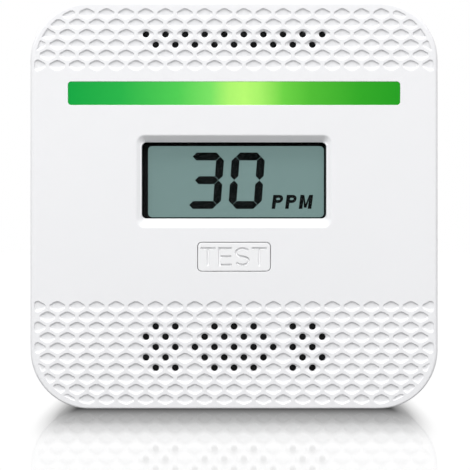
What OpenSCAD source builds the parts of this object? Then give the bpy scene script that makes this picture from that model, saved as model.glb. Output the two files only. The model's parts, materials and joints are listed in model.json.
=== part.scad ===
// Carbon monoxide detector: square wall or shelf unit with a reading window, a light bar
// and a test button. The front faces -Y, +Z is up, and the origin is the middle of the base.
// A depth, d, is always counted from the front face towards the wall.

/* [Housing] */
// Width across the front
body_w = 94; // [94:1:120]
// Height
body_h = 94; // [94:1:120]
// Depth from the front face to the back of the rear cover
body_d = 34; // [33:0.5:44]
// Corner radius seen from the front
corner_r = 13.6; // [9:0.2:15]
// Round along the front and the back edges
edge_r = 1.2; // [0.6:0.1:1.6]
// Thickness of the side walls
wall = 2; // [1.6:0.1:2.6]
// Thickness of the front face
face_t = 2.2; // [2:0.1:2.6]
// Thickness of the back
back_t = 2; // [1.8:0.1:2.6]
// Depth of the line where the two covers meet
split_d = 22; // [20.5:0.5:24]

/* [Texture and vents] */
// Distance between neighbouring cells in a row
cell_pitch = 4.525; // [4.2:0.005:4.8]
// Distance between two rows of cells
row_pitch = 2.385; // [2.2:0.005:2.6]
// Height of the pointed end of a cell
cell_peak = 1.27; // [1.1:0.01:1.4]
// Width of the ridge between two cells
ridge = 0.98; // [0.7:0.02:1.2]
// Depth of a cell
cell_depth = 0.5; // [0.3:0.05:0.8]
// Smooth border around the texture
rim = 0.95; // [0.7:0.05:1.5]
// Middle of the first row below the top edge
top_row_in = 2.82; // [2.5:0.01:3.5]
// Middle of the first row above the bottom edge
low_row_in = 2.2; // [2:0.01:3]
// Rows of cells at the top
top_rows = 6; // [4:1:6]
// Rows of cells at the bottom
low_rows = 10; // [9:1:10]
// Diameter of one vent
vent_dia = 1.5; // [1:0.1:1.8]
// Middle row of the lower vents, counted up from the bottom edge
low_vent_row = 5; // [4:1:5]

/* [Light bar] */
// Distance from the side of the body to the bar
bar_margin = 8.85; // [7:0.05:14]
// Height of the bar
bar_h = 5.1; // [4:0.05:6]
// Middle of the bar below the top edge
bar_in = 21.3; // [21:0.1:22.5]

/* [Display] */
// Width of the window at the bottom of its bevel
window_w = 42.65; // [34:0.05:44]
// Height of the window at the bottom of its bevel
window_h = 17.65; // [14:0.05:18]
// Middle of the window below the top edge
window_in = 41.34; // [41:0.02:42]
// Width of the bevel at the sides
bevel_side = 1.2; // [1:0.05:2]
// Width of the bevel along the top
bevel_top = 1.5; // [1:0.1:2]
// Width of the bevel along the bottom
bevel_low = 2; // [1:0.1:2.2]
// Depth of the bevel
bevel_d = 1.2; // [0.8:0.1:1.5]

/* [Test button] */
// Width of the button
button_w = 16.66; // [12:0.02:24]
// Height of the button
button_h = 6.55; // [5:0.05:7]
// Middle of the button below the top edge
button_in = 59.02; // [59:0.01:61]
// Travel of the button
button_travel = 0.5; // [0.3:0.1:0.6]
// Gap around the button
button_gap = 0.2; // [0.15:0.05:0.3]

/* [Battery bay] */
// Diameter of one cell
cell_dia = 14.5; // [14:0.1:14.6]
// Length of one cell with its tip
cell_len = 50.5; // [49.5:0.1:51]
// Depth of the bay from the back of the rear cover
bay_depth = 18; // [17.5:0.1:18.5]
// Thickness of the bay walls
bay_wall = 1.6; // [1.2:0.1:2]
// Gap around the battery door
door_gap = 0.25; // [0.2:0.05:0.4]
// Radius of the door's hinge pins
hinge_pin_r = 0.9; // [0.8:0.05:1]

/* [Wall bracket] */
// Width of the bracket
bracket_w = 64; // [60:1:64]
// Height of the bracket
bracket_h = 26; // [24:0.5:26.5]
// Distance between the two screw slots
slot_spacing = 40; // [30:1:40]
// Half the width of a screw slot
slot_r = 2.1; // [1.8:0.1:2.5]
// Length of a screw slot
slot_len = 9; // [8:0.5:12]
// Travel that frees the hooks
hook_travel = 4; // [3.5:0.1:4.2]
// How far the bracket stands out behind the rear cover
bracket_proud = 0.4; // [0.3:0.1:1]

/* [Circuit board] */
// Depth of the front of the board
board_d = 11; // [11:0.1:11.5]
// Thickness of the board
board_t = 1.6; // [1:0.1:1.8]
// Gap between the board and the side walls
board_gap = 2; // [1.5:0.1:3]

/* [Hidden] */
$fn = 64;

eps = 0.01;          // overrun that keeps a cut clear of a face
cut = 0.5;           // overrun of a cut into open air
hug = 0.15;          // gap between two fixed pieces that drop into each other
thread_gap = 0.02;   // radial gap of a screw in its pilot hole
pin_gap = 0.07;      // radial gap of a hinge pin
stem_gap = 0.05;     // radial gap of the switch stem

front_y = -(body_d + bracket_proud) / 2;

// Levels in the depth, front to back
lens_t = 1;
mask_t = 0.3;
mask_d = face_t + lens_t;
lcd_d = mask_d + mask_t + 0.2;
glass_t = 1.1;
ink_t = 0.1;
ink_d = lcd_d + glass_t;
rear_glass_d = ink_d + ink_t;
backlight_d = rear_glass_d + glass_t;
backlight_t = 3;
screen_t = 0.2;
board_back = board_d + board_t;
tongue = 1.5;

// Places on the front
top_z = body_h;
bar_z = top_z - bar_in;
bar_w = body_w - 2 * bar_margin;
bar_r = 0.6;
bar_flange = 1.5;
bar_flange_t = 1.2;
window_z = top_z - window_in;
window_r = 1.1;
bevel_r = 1.9;
button_z = top_z - button_in;
button_r = 0.9;
button_flange = 0.8;
button_flange_t = 1.2;
button_post_r = 2;
guide_gap = 0.3;
guide_t = 1;

// Display stack
lcd_w = 50;
lcd_h = 24;
lcd_ledge = 2.5;
lcd_wall = 0.8;
lens_edge = 1.9;
lens_w = window_w + 2 * lens_edge;
lens_h = window_h + 2 * lens_edge;
lens_r = 0.5;
lens_frame_wall = 1;
contact_t = 1.6;

// Sensor and sounder
sensor_r = 7;
sensor_z = top_z - wall - 0.5 - sensor_r;
sounder_r = 11;
sounder_z = low_row_in + low_vent_row * row_pitch;
screen_w = 44;
sounder_gasket_t = 0.8;
sensor_gasket_t = 1;
gasket_w = 2;

// Border of the texture: a little rounder than the body
border_r = corner_r + 0.6;

// Screws
boss_in = 10;
boss_low_z = 12;
boss_x = body_w / 2 - boss_in;
boss_z = [boss_low_z, top_z - boss_low_z];
boss_r = 3.5;
boss_end = 19.5;
screw_r = 1.3;
screw_len = 13;
screw_head_r = 2.8;
screw_head_t = 2.2;
screw_seat = 23;
post_r = 4.2;
standoff_x = body_w / 2 - wall - 6.5;
standoff_z = [34, top_z - 32];
standoff_r = 2.75;
boss_rib = 1.2;
board_screw_r = 1.2;
board_screw_len = 6;
board_head_r = 2.4;
board_head_t = 1.6;

// Test switch
switch_size = 6;
switch_t = 3.5;
stem_r = 1.7;
stem_proud = 0.9;
stem_in = 1.5;
post_gap = 0.1;

// Battery bay
cell_gap = 0.5;
bay_margin = 0.65;
cell_pitch_z = cell_dia + cell_gap;
plate_t = 0.4;
tip_boss = 1.5;
spring_len = 4.2;
bay_w = cell_len + spring_len + tip_boss + 2 * plate_t;
bay_z0 = 8.1;
bay_h = 3 * cell_dia + 2 * cell_gap + 2 * bay_margin;
bay_z1 = bay_z0 + bay_h;
bay_floor = body_d - bay_depth;
bay_skin = 1.4;
cell_d = bay_floor + 0.2 + cell_dia / 2;
cell_z = [for (i = [0:2]) bay_z0 + bay_margin + cell_dia / 2 + i * cell_pitch_z];
// The way each cell's tip points, from the lowest cell up
tip_side = [1, -1, 1];
ledge = 1.7;
door_t = 2;
door_rest = 0.1;     // gap between the door and the ledge behind it
door_d = body_d - door_t;
hole_w = bay_w + 2 * ledge;
hole_z0 = bay_z0 - ledge;
hole_z1 = bay_z1 + 3.5;
flange_t = 1.5;
barrel_r = 1.5;
hinge_d = body_d - barrel_r;
hinge_z = hole_z1 - 1.8;
groove_r = 1.8;
pin_len = 1.5;

// Wall bracket and its recess
bracket_t = 2.4;
bracket_r = 4;
bracket_back = body_d + bracket_proud;
bracket_d = bracket_back - bracket_t;
recess_gap = 0.5;
recess_depth = 3.2;
recess_floor = 2;
recess_d = body_d - recess_depth;
recess_wall = 1.6;
bracket_top = top_z - 4.5;
recess_top = bracket_top + recess_gap;
recess_z0 = bracket_top - bracket_h - hook_travel - recess_gap;
slot_z = bracket_top - bracket_h / 2;
slot_wall = 1.2;
slot_head_r = 4.6;
hook_w = 6;
hook_arm = 2;
hook_lip = 1.6;
hook_reach = 2;
hook_gap = 0.3;
lip_gap = 0.2;
hook_x = bracket_w / 2 - 8;
hook_top = [bracket_top - 15.6, bracket_top - 2.4];
window_gap = 0.5;

// Leads: round numbers as [x from the middle, depth, height]
lead_r = 0.75;
lead_sides = 8;
plug_x = 20;
plug_z = top_z - 30;
plug_d = 22;
lead_pitch = 1.27;
lead_hole_r = 1.1;
lead_gap = 0.08;
lead_d = bay_floor + 3;

// ---------- Helpers ----------

// Extrudes an (x, z) outline from depth d over thickness t
module plate(d, t) {
    translate([0, front_y + d + t, 0])
        rotate([90, 0, 0])
            linear_extrude(t)
                children();
}

// Round bar along the depth
module bar(x, z, d, t, r) {
    translate([x, front_y + d + t, z])
        rotate([90, 0, 0])
            cylinder(h = t, r = r);
}

// Ring along the depth
module ring(x, z, d, t, r, bore) {
    difference() {
        bar(x, z, d, t, r);
        bar(x, z, d - eps, t + 2 * eps, bore);
    }
}

// Block centred on (x, z)
module block(x, z, d, size) {
    translate([x - size.x / 2, front_y + d, z - size.z / 2])
        cube(size);
}

// Rectangle with round corners
module rounded(w, h, r) {
    square([w - 2 * r, h], center = true);
    square([w, h - 2 * r], center = true);
    for (x = [-1, 1], y = [-1, 1])
        translate([x * (w / 2 - r), y * (h / 2 - r)])
            circle(r);
}

// Rounded rectangle placed on the front
module panel(x, z, w, h, r) {
    translate([x, z])
        rounded(w, h, r);
}

// Outline of the body, moved inwards
module body_outline(inset) {
    panel(0, body_h / 2, body_w - 2 * inset, body_h - 2 * inset, corner_r - inset);
}

// Quarter round at the end of a flat stretch
module edge_profile(reach) {
    square([reach, edge_r]);
    translate([reach, 0])
        intersection() {
            circle(edge_r);
            square(edge_r);
        }
}

// Slab of thickness edge_r whose whole edge is rounded over
module rounded_slab() {
    half_w = body_w / 2 - corner_r;
    half_h = body_h / 2 - corner_r;
    reach = corner_r - edge_r;
    linear_extrude(edge_r)
        square([2 * half_w, 2 * half_h], center = true);
    for (i = [0:3])
        rotate(90 * i) {
            out = i % 2 == 0 ? half_w : half_h;
            along = i % 2 == 0 ? half_h : half_w;
            translate([out, along])
                rotate_extrude(angle = 90)
                    edge_profile(reach);
            translate([out, along])
                rotate([90, 0, 0])
                    linear_extrude(2 * along)
                        edge_profile(reach);
        }
}

// Screw along the depth, its head towards the back
module screw(x, z, seat, r, len, head_r, head_t) {
    groove = head_r * 0.25;
    difference() {
        union() {
            bar(x, z, seat - len, len, r);
            bar(x, z, seat, head_t, head_r);
        }
        for (size = [[groove, head_t, head_r * 1.2], [head_r * 1.2, head_t, groove]])
            block(x, z, seat + head_t / 2, size);
    }
}

// ---------- Texture ----------

// Squashed hexagon of one cell
module cell_outline() {
    slope = cell_peak / (cell_pitch / 2);
    half_w = (cell_pitch - ridge) / 2;
    tip = (row_pitch + cell_peak) / 2 - ridge / 2 * sqrt(1 + slope * slope);
    shoulder = tip - slope * half_w;
    polygon([
        [0, tip], [half_w, shoulder], [half_w, -shoulder],
        [0, -tip], [-half_w, -shoulder], [-half_w, shoulder]
    ]);
}

// A row is shifted by half a cell when it is even, counted from the edge
function row_shift(row) = row % 2 == 0 ? 0.5 : 0;
function top_row_z(row) = top_z - top_row_in - row * row_pitch;
function low_row_z(row) = low_row_in + row * row_pitch;

module cell_row(row, z) {
    count = ceil(body_w / 2 / cell_pitch);
    for (i = [-count:count])
        translate([(i + row_shift(row)) * cell_pitch, z])
            cell_outline();
}

module texture() {
    plate(-cut, cut + cell_depth)
        intersection() {
            panel(0, body_h / 2, body_w - 2 * rim, body_h - 2 * rim, border_r);
            union() {
                for (row = [0:top_rows - 1])
                    cell_row(row, top_row_z(row));
                for (row = [0:low_rows - 1])
                    cell_row(row, low_row_z(row));
            }
        }
}

// The lower vents leave out one slanted column on each side
function is_low_vent(column, step) =
    abs(column) <= 4.5 && (step == 0 || abs(column) < 1.75 || abs(column) > 2.75);

module vents() {
    for (row = [2, 3])
        for (i = [-5:5])
            if (abs(i + row_shift(row)) <= 4.5)
                vent((i + row_shift(row)) * cell_pitch, top_row_z(row));
    for (step = [-2:2])
        for (i = [-5:5])
            if (is_low_vent(i + row_shift(low_vent_row + step), step))
                vent((i + row_shift(low_vent_row + step)) * cell_pitch, low_row_z(low_vent_row + step));
}

module vent(x, z) {
    bar(x, z, cell_depth - eps, face_t, vent_dia / 2, $fn = 24);
}

// ---------- Front ----------

module display_recess() {
    outer_w = window_w + 2 * bevel_side;
    outer_h = window_h + bevel_top + bevel_low;
    outer_z = window_z + (bevel_top - bevel_low) / 2;
    hull() {
        plate(-cut, cut)
            panel(0, outer_z, outer_w, outer_h, bevel_r, $fn = 32);
        plate(bevel_d, eps)
            panel(0, window_z, window_w, window_h, window_r, $fn = 32);
    }
    plate(0, face_t + cut)
        panel(0, window_z, window_w, window_h, window_r);
}

module front_posts() {
    guide_x = button_w / 2 + button_flange + guide_gap + guide_t / 2;
    guide_d = button_flange_t + 2.1;
    for (side = [-1, 1]) {
        for (z = boss_z) {
            bar(side * boss_x, z, face_t - eps, boss_end - face_t + eps, boss_r);
            block(side * (boss_x + boss_in / 2 - wall / 2), z, face_t - eps,
                  [boss_in - wall + eps, boss_end - face_t, boss_rib]);
        }
        for (z = standoff_z)
            bar(side * standoff_x, z, face_t - eps, board_d - face_t + eps, standoff_r);
        block(side * guide_x, button_z, face_t - eps, [guide_t, guide_d, button_h]);
    }
}

module lens_frame() {
    outer = hug + lens_frame_wall;
    plate(face_t - eps, lens_t + mask_t + eps)
        difference() {
            panel(0, window_z, lens_w + 2 * outer, lens_h + 2 * outer, lens_r + lens_frame_wall);
            panel(0, window_z, lens_w + 2 * hug, lens_h + 2 * hug, lens_r);
        }
}

module front_cover() color("whitesmoke") {
    pilot_d = board_back - board_screw_len - 0.5;
    difference() {
        union() {
            translate([0, front_y + edge_r, body_h / 2])
                rotate([90, 0, 0])
                    rounded_slab();
            difference() {
                plate(edge_r - eps, split_d - edge_r + eps)
                    body_outline(0);
                plate(face_t, split_d)
                    body_outline(wall);
            }
            front_posts();
            lens_frame();
        }
        texture();
        vents();
        display_recess();
        plate(-cut, face_t + 2 * cut)
            panel(0, bar_z, bar_w + 2 * hug, bar_h + 2 * hug, bar_r + hug);
        plate(-cut, face_t + 2 * cut)
            panel(0, button_z, button_w + 2 * button_gap, button_h + 2 * button_gap, button_r + button_gap);
        for (side = [-1, 1]) {
            for (z = boss_z)
                bar(side * boss_x, z, screw_seat - screw_len - 1, boss_end, screw_r + thread_gap);
            for (z = standoff_z)
                bar(side * standoff_x, z, pilot_d, board_d, board_screw_r + thread_gap);
        }
    }
}

module light_bar() color("limegreen") {
    plate(0, face_t + eps)
        panel(0, bar_z, bar_w, bar_h, bar_r);
    plate(face_t, bar_flange_t)
        panel(0, bar_z, bar_w + 2 * bar_flange, bar_h + 2 * bar_flange, 1);
}

module display_lens() color("lightcyan", 0.4) {
    plate(face_t, lens_t)
        panel(0, window_z, lens_w, lens_h, lens_r);
}

// Black frame printed round the glass: wider at the left, where the reading stops short
module display_mask() color("black") {
    left = 1.2;
    right = 0.3;
    top = 0.7;
    low = 0.3;
    plate(mask_d, mask_t)
        difference() {
            panel(0, window_z, lens_w, lens_h, lens_r);
            translate([left / 2 - right / 2, window_z + low / 2 - top / 2])
                square([window_w - left - right, window_h - top - low], center = true);
        }
}

module test_button() color("whitesmoke") {
    flange_d = face_t + 0.2;
    tip = board_d - switch_t - stem_proud - post_gap;
    plate(0, flange_d + eps)
        panel(0, button_z, button_w, button_h, button_r);
    plate(flange_d, button_flange_t)
        panel(0, button_z, button_w + 2 * button_flange, button_h + 2 * button_flange, 1);
    bar(0, button_z, flange_d + button_flange_t - eps, tip - flange_d - button_flange_t + eps,
        button_post_r);
}

// ---------- Display ----------

module lcd_front_glass() color("paleturquoise", 0.5) {
    plate(lcd_d, glass_t)
        panel(0, window_z, lcd_w, lcd_h, 0.3);
}

// One bar of a digit: pointed at both ends
module segment(len, t) {
    end = len / 2;
    h = t / 2;
    polygon([[-end, 0], [h - end, h], [end - h, h], [end, 0], [end - h, -h], [h - end, -h]]);
}

// Seven bars, in the order top, middle, bottom, upper left, upper right, lower left, lower right
module digit(x, z, lit) {
    w = 5.85;
    h = 5.62;
    t = 1.62;
    lean = 0.073;
    gap = 0.4;
    places = [
        [0, h, 0], [0, 0, 0], [0, -h, 0],
        [-w / 2, h / 2, 90], [w / 2, h / 2, 90], [-w / 2, -h / 2, 90], [w / 2, -h / 2, 90]
    ];
    for (i = [0:6])
        if (lit[i])
            translate([x + places[i][1] * lean, z])
                translate([places[i][0], places[i][1]])
                    rotate(places[i][2])
                        segment((i < 3 ? w : h) - gap, t);
}

module lcd_segments() color("darkslategray") {
    plate(ink_d, ink_t) {
        digit(-6.52, window_z, [1, 1, 1, 0, 1, 0, 1]);
        digit(2.95, window_z, [1, 0, 1, 1, 1, 1, 1]);
    }
}

module lcd_rear_glass() color("cadetblue", 0.6) {
    plate(rear_glass_d, glass_t)
        panel(0, window_z + lcd_ledge / 2, lcd_w, lcd_h - lcd_ledge, 0.3);
}

module lcd_backlight() color("lightgray") {
    plate(backlight_d, backlight_t)
        panel(0, window_z + lcd_ledge / 2, lcd_w - 0.4, lcd_h - lcd_ledge - 0.4, 0.5);
}

module lcd_holder() color("dimgray") {
    inner_w = lcd_w + 2 * hug;
    inner_h = lcd_h + 2 * hug;
    shelf = 3;
    difference() {
        plate(lcd_d, board_d - lcd_d)
            panel(0, window_z, inner_w + 2 * lcd_wall, inner_h + 2 * lcd_wall, 0.8);
        plate(lcd_d - eps, backlight_d + backlight_t - lcd_d + eps)
            panel(0, window_z, inner_w, inner_h, 0.3);
        plate(lcd_d, board_d)
            panel(0, window_z + shelf / 2, inner_w - 2 * shelf, inner_h - shelf, 0.3);
        plate(lcd_d, board_d)
            translate([0, window_z - lcd_h / 2 + lcd_ledge / 2])
                square([lcd_w - 3, lcd_ledge], center = true);
    }
}

// Rubber strip that joins the glass to the board
module lcd_contact_strip() color("orange") {
    block(0, window_z - lcd_h / 2 + lcd_ledge / 2, ink_d, [lcd_w - 4, board_d - ink_d, contact_t]);
}

// ---------- Lights ----------

module light_box() color("white") {
    d = face_t + bar_flange_t + 0.1;
    w = bar_w + 2 * bar_flange;
    h = bar_h + 2 * bar_flange;
    plate(d, board_d - d)
        difference() {
            panel(0, bar_z, w, h, 1);
            panel(0, bar_z, w - 1.6, h - 1.6, 0.5);
        }
}

module led(x, size) {
    block(x, bar_z, board_d - 1, [size, 1, size * 0.8]);
    bar(x, bar_z, board_d - 1.6, 0.6 + eps, size * 0.3);
}

module led_green() color("lime") {
    led(2, 3.5);
}

module led_yellow() color("gold") {
    led(-bar_w / 3, 3.5);
}

module led_red() color("red") {
    led(bar_w / 3, 3.5);
}

// ---------- Board ----------

board_w = body_w - 2 * wall - 2 * board_gap;
board_h = body_h - 2 * wall - 2 * board_gap;
pin_r = 0.5;
pin_clear = 0.05;
pin_proud = 1.2;
sensor_pin_r = 4;
sounder_pin_x = 5;

function sensor_pin(i) = [sensor_pin_r * cos(90 + 120 * i), sensor_z + sensor_pin_r * sin(90 + 120 * i)];

module main_board() color("darkgreen") {
    difference() {
        plate(board_d, board_t)
            panel(0, body_h / 2, board_w, board_h, corner_r - wall - board_gap);
        for (side = [-1, 1]) {
            for (z = boss_z) {
                bar(side * boss_x, z, board_d - cut, board_t + 2 * cut, boss_r + 0.4);
                block(side * (boss_x + boss_in / 2), z, board_d - cut, [boss_in, board_t + 2 * cut, 2]);
            }
            for (z = standoff_z)
                bar(side * standoff_x, z, board_d - cut, board_t + 2 * cut, board_screw_r + 0.2);
            bar(side * sounder_pin_x, sounder_z, board_d - cut, board_t + 2 * cut, pin_r + pin_clear);
        }
        for (i = [0:2])
            bar(sensor_pin(i).x, sensor_pin(i).y, board_d - cut, board_t + 2 * cut, pin_r + pin_clear);
    }
}

module board_screws() color("silver") {
    for (side = [-1, 1], z = standoff_z)
        screw(side * standoff_x, z, board_back, board_screw_r, board_screw_len, board_head_r, board_head_t);
}

module test_switch_body() color("dimgray") {
    difference() {
        block(0, button_z, board_d - switch_t, [switch_size, switch_t, switch_size]);
        bar(0, button_z, board_d - switch_t - eps, stem_in + button_travel + 0.5, stem_r + stem_gap);
    }
}

module test_switch_stem() color("black") {
    bar(0, button_z, board_d - switch_t - stem_proud, stem_proud + stem_in, stem_r);
}

// ---------- Sounder ----------

sounder_d = face_t + screen_t + sounder_gasket_t;
disc_d = sounder_d + 3.5;
disc_t = 0.3;

module sounder_case() color("black") {
    difference() {
        bar(0, sounder_z, sounder_d, board_d - sounder_d, sounder_r);
        bar(0, sounder_z, sounder_d + 1, disc_d - sounder_d - 1 + eps, sounder_r - 2);
        bar(0, sounder_z, disc_d, board_d, sounder_r - 1);
        bar(0, sounder_z, sounder_d - cut, 2, 3);
    }
}

module sounder_disc() color("goldenrod") {
    bar(0, sounder_z, disc_d, disc_t, sounder_r - 1 - hug);
    bar(0, sounder_z, disc_d + disc_t - eps, 0.2, 7);
}

module sounder_pins() color("silver") {
    start = disc_d + disc_t + 0.4;
    for (side = [-1, 1])
        bar(side * sounder_pin_x, sounder_z, start, board_back + pin_proud - start, pin_r);
}

module sounder_gasket() color("dimgray") {
    ring(0, sounder_z, face_t + screen_t, sounder_gasket_t, sounder_r, sounder_r - gasket_w);
}

// ---------- Gas sensor ----------

sensor_d = face_t + screen_t + sensor_gasket_t;
filter_t = 1.2;
can_gap = 0.8;       // between the can and the board
can_t = 0.5;

module sensor_can() color("silver") {
    difference() {
        bar(0, sensor_z, sensor_d, board_d - can_gap - sensor_d, sensor_r);
        bar(0, sensor_z, sensor_d + can_t, board_d, sensor_r - can_t);
        bar(0, sensor_z, sensor_d - cut, 2, 1.5);
    }
}

module sensor_filter() color("black") {
    bar(0, sensor_z, sensor_d + can_t, filter_t, sensor_r - can_t - hug);
}

module sensor_cap() color("ivory") {
    cap_d = sensor_d + can_t + filter_t;
    difference() {
        bar(0, sensor_z, cap_d, board_d - cap_d - can_gap, sensor_r - can_t - hug);
        for (i = [0:2])
            bar(sensor_pin(i).x, sensor_pin(i).y, cap_d + 2.5, board_d, pin_r + pin_clear);
    }
}

module sensor_pins() color("gold") {
    start = sensor_d + can_t + filter_t + 2.6;
    for (i = [0:2])
        bar(sensor_pin(i).x, sensor_pin(i).y, start, board_back + pin_proud - start, pin_r);
}

module sensor_gasket() color("dimgray") {
    ring(0, sensor_z, face_t + screen_t, sensor_gasket_t, sensor_r - 0.5, sensor_r - gasket_w);
}

module dust_screen_top() color("black") {
    plate(face_t, screen_t)
        panel(0, sensor_z, screen_w, 2 * sensor_r - 0.6, 2);
}

module dust_screen_bottom() color("black") {
    plate(face_t, screen_t)
        panel(0, sounder_z, screen_w, 2 * sounder_r + 0.6, 2);
}

// ---------- Components on the back of the board ----------

comp_z = top_z - 20;

module chip(x, z, w, h, t, legs) {
    block(x, z, board_back + 0.2, [w, t, h]);
    for (side = [-1, 1], i = [0:legs - 1])
        block(x + side * (w / 2 + 0.5), z + (i - (legs - 1) / 2) * h / legs, board_back,
              [1 + 2 * eps, 0.5, h / legs * 0.5]);
}

module mcu_chip() color("dimgray") {
    chip(-10, comp_z, 10, 10, 1.6, 8);
}

module amplifier_chip() color("dimgray") {
    chip(13, comp_z + 1, 4, 5, 1.5, 4);
}

module driver_transistor() color("dimgray") {
    chip(4, comp_z - 11, 3, 3, 1.2, 2);
}

coil_x = body_w / 2 - 11;

module boost_coil() color("dimgray") {
    for (d = [board_back, board_back + 4])
        bar(coil_x, comp_z - 2, d, 1, 4);
    bar(coil_x, comp_z - 2, board_back + 1 - eps, 3 + 2 * eps, 1.6);
}

module coil_winding() color("chocolate") {
    ring(coil_x, comp_z - 2, board_back + 1.1, 2.8, 3.6, 1.6 + hug);
}

module electrolytic_capacitors() color("slategray") {
    bar(-coil_x, comp_z - 2, board_back, 10, 4);
    bar(-coil_x + 10, comp_z + 2, board_back, 7, 3.2);
}

module chip_resistors() color("black") {
    for (i = [0:7])
        block(-16 + i * 3.4, comp_z + 6, board_back, [1.6, 0.5, 0.8]);
    for (i = [0:5])
        block(22, comp_z + 8 - i * 2.2, board_back, [1.6, 0.5, 0.8]);
}

module chip_capacitors() color("tan") {
    for (i = [0:5])
        block(-22 + i * 3.4, comp_z - 8, board_back, [1.6, 0.9, 0.9]);
    for (i = [0:3])
        block(26.5, comp_z + 3 - i * 2.6, board_back, [1.6, 0.9, 0.9]);
}

module crystal() color("silver") {
    plate(board_back, 3.5)
        panel(-21, comp_z + 9, 8, 3.6, 1.7);
}

// ---------- Leads ----------

socket_size = [7, 6, 6];

module lead_socket() color("ivory") {
    block(plug_x, plug_z, board_back, socket_size);
}

module lead_plug() color("white") {
    top_d = board_back + socket_size.y;
    block(plug_x, plug_z, top_d, [socket_size.x - 1, plug_d - top_d, socket_size.z - 1]);
}

red_route = [
    [bay_w / 2 + lead_gap, lead_d, cell_z[2]], [bay_w / 2 + 2.5, lead_d, cell_z[2]],
    [bay_w / 2 + 4.8, lead_d - 0.5, cell_z[2] + 2.5], [bay_w / 2 + 5.5, lead_d - 1, cell_z[2] + 8],
    [bay_w / 2 + 3.5, 20, plug_z - 5], [plug_x + 6.5, 24.5, plug_z - 2], [plug_x + 2.8, 26, plug_z - 0.4],
    [plug_x + lead_pitch, 25, plug_z], [plug_x + lead_pitch, plug_d + lead_gap, plug_z]
];

black_route = [
    [-bay_w / 2 - lead_gap, lead_d, cell_z[0]], [-bay_w / 2 - 2.5, lead_d, cell_z[0]],
    [-bay_w / 2 - 4.8, lead_d - 0.5, cell_z[0] + 2.5], [-bay_w / 2 - 5.5, lead_d - 1, cell_z[0] + 10],
    [-bay_w / 2 - 5.5, lead_d - 1, cell_z[2] - 2], [-bay_w / 2 - 3.5, 20, plug_z - 8],
    [-24, 22, plug_z - 2], [-6, 24, plug_z + 1.5], [10, 25.4, plug_z + 1.5],
    [plug_x - 3, 26, plug_z + 0.4], [plug_x - lead_pitch, 25, plug_z],
    [plug_x - lead_pitch, plug_d + lead_gap, plug_z]
];

function unit(v) = v / norm(v);
function pick(list, i) = list[max(0, min(len(list) - 1, i))];
// Point on a smooth curve through four neighbours, t from 0 to 1 between the middle two
function blend(a, b, c, d, t) =
    0.5 * (2 * b + (c - a) * t + (2 * a - 5 * b + 4 * c - d) * t * t + (3 * b - a - 3 * c + d) * t * t * t);
function smooth(list, steps) = [
    for (i = [0:len(list) - 2], s = [0:steps - 1])
        blend(pick(list, i - 1), list[i], list[i + 1], pick(list, i + 2), s / steps),
    list[len(list) - 1]
];
function placed(p) = [p.x, front_y + p.y, p.z];

// Round tube along a list of points
module tube(path, r, sides) {
    count = len(path);
    lean = [0.5, 0.3, 1];
    points = [
        for (i = [0:count - 1])
            let (ahead = unit(pick(path, i + 1) - pick(path, i - 1)))
            let (out = unit(cross(ahead, lean)), up = cross(out, ahead))
            for (s = [0:sides - 1])
                path[i] + r * (cos(360 * s / sides) * out + sin(360 * s / sides) * up)
    ];
    faces = [
        [for (s = [0:sides - 1]) s],
        for (i = [0:count - 2], s = [0:sides - 1])
            let (a = i * sides + s, b = i * sides + (s + 1) % sides)
            each [[a, a + sides, b], [b, a + sides, b + sides]],
        [for (s = [sides - 1:-1:0]) (count - 1) * sides + s]
    ];
    polyhedron(points, faces);
}

module battery_lead_red() color("red") {
    tube([for (p = smooth(red_route, 3)) placed(p)], lead_r, lead_sides);
}

module battery_lead_black() color("black") {
    tube([for (p = smooth(black_route, 3)) placed(p)], lead_r, lead_sides);
}

// ---------- Rear cover ----------

module rear_cavity() {
    plate(split_d - eps, body_d - back_t - split_d + eps)
        body_outline(wall);
}

module bay_outline(grow) {
    translate([0, (bay_z0 + bay_z1) / 2])
        square([bay_w + 2 * grow, bay_h + 2 * grow], center = true);
}

module door_hole(grow) {
    translate([0, (hole_z0 + hole_z1) / 2])
        square([hole_w + 2 * grow, hole_z1 - hole_z0 + 2 * grow], center = true);
}

module recess_outline(grow) {
    w = bracket_w + 2 * recess_gap + 2 * grow;
    h = recess_top - recess_z0 + 2 * grow;
    panel(0, (recess_top + recess_z0) / 2, w, h, bracket_r + grow);
}

module hinge_line(len, r) {
    translate([-len / 2, front_y + hinge_d, hinge_z])
        rotate([0, 90, 0])
            cylinder(h = len, r = r);
}

module hook_windows() {
    reach = hook_arm + hook_gap + hook_travel + window_gap;
    for (side = [-1, 1], z = hook_top)
        block(side * hook_x, z - reach / 2, recess_d - recess_floor - cut,
              [hook_w + 2 * window_gap, recess_floor + 2 * cut, reach]);
}

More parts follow.
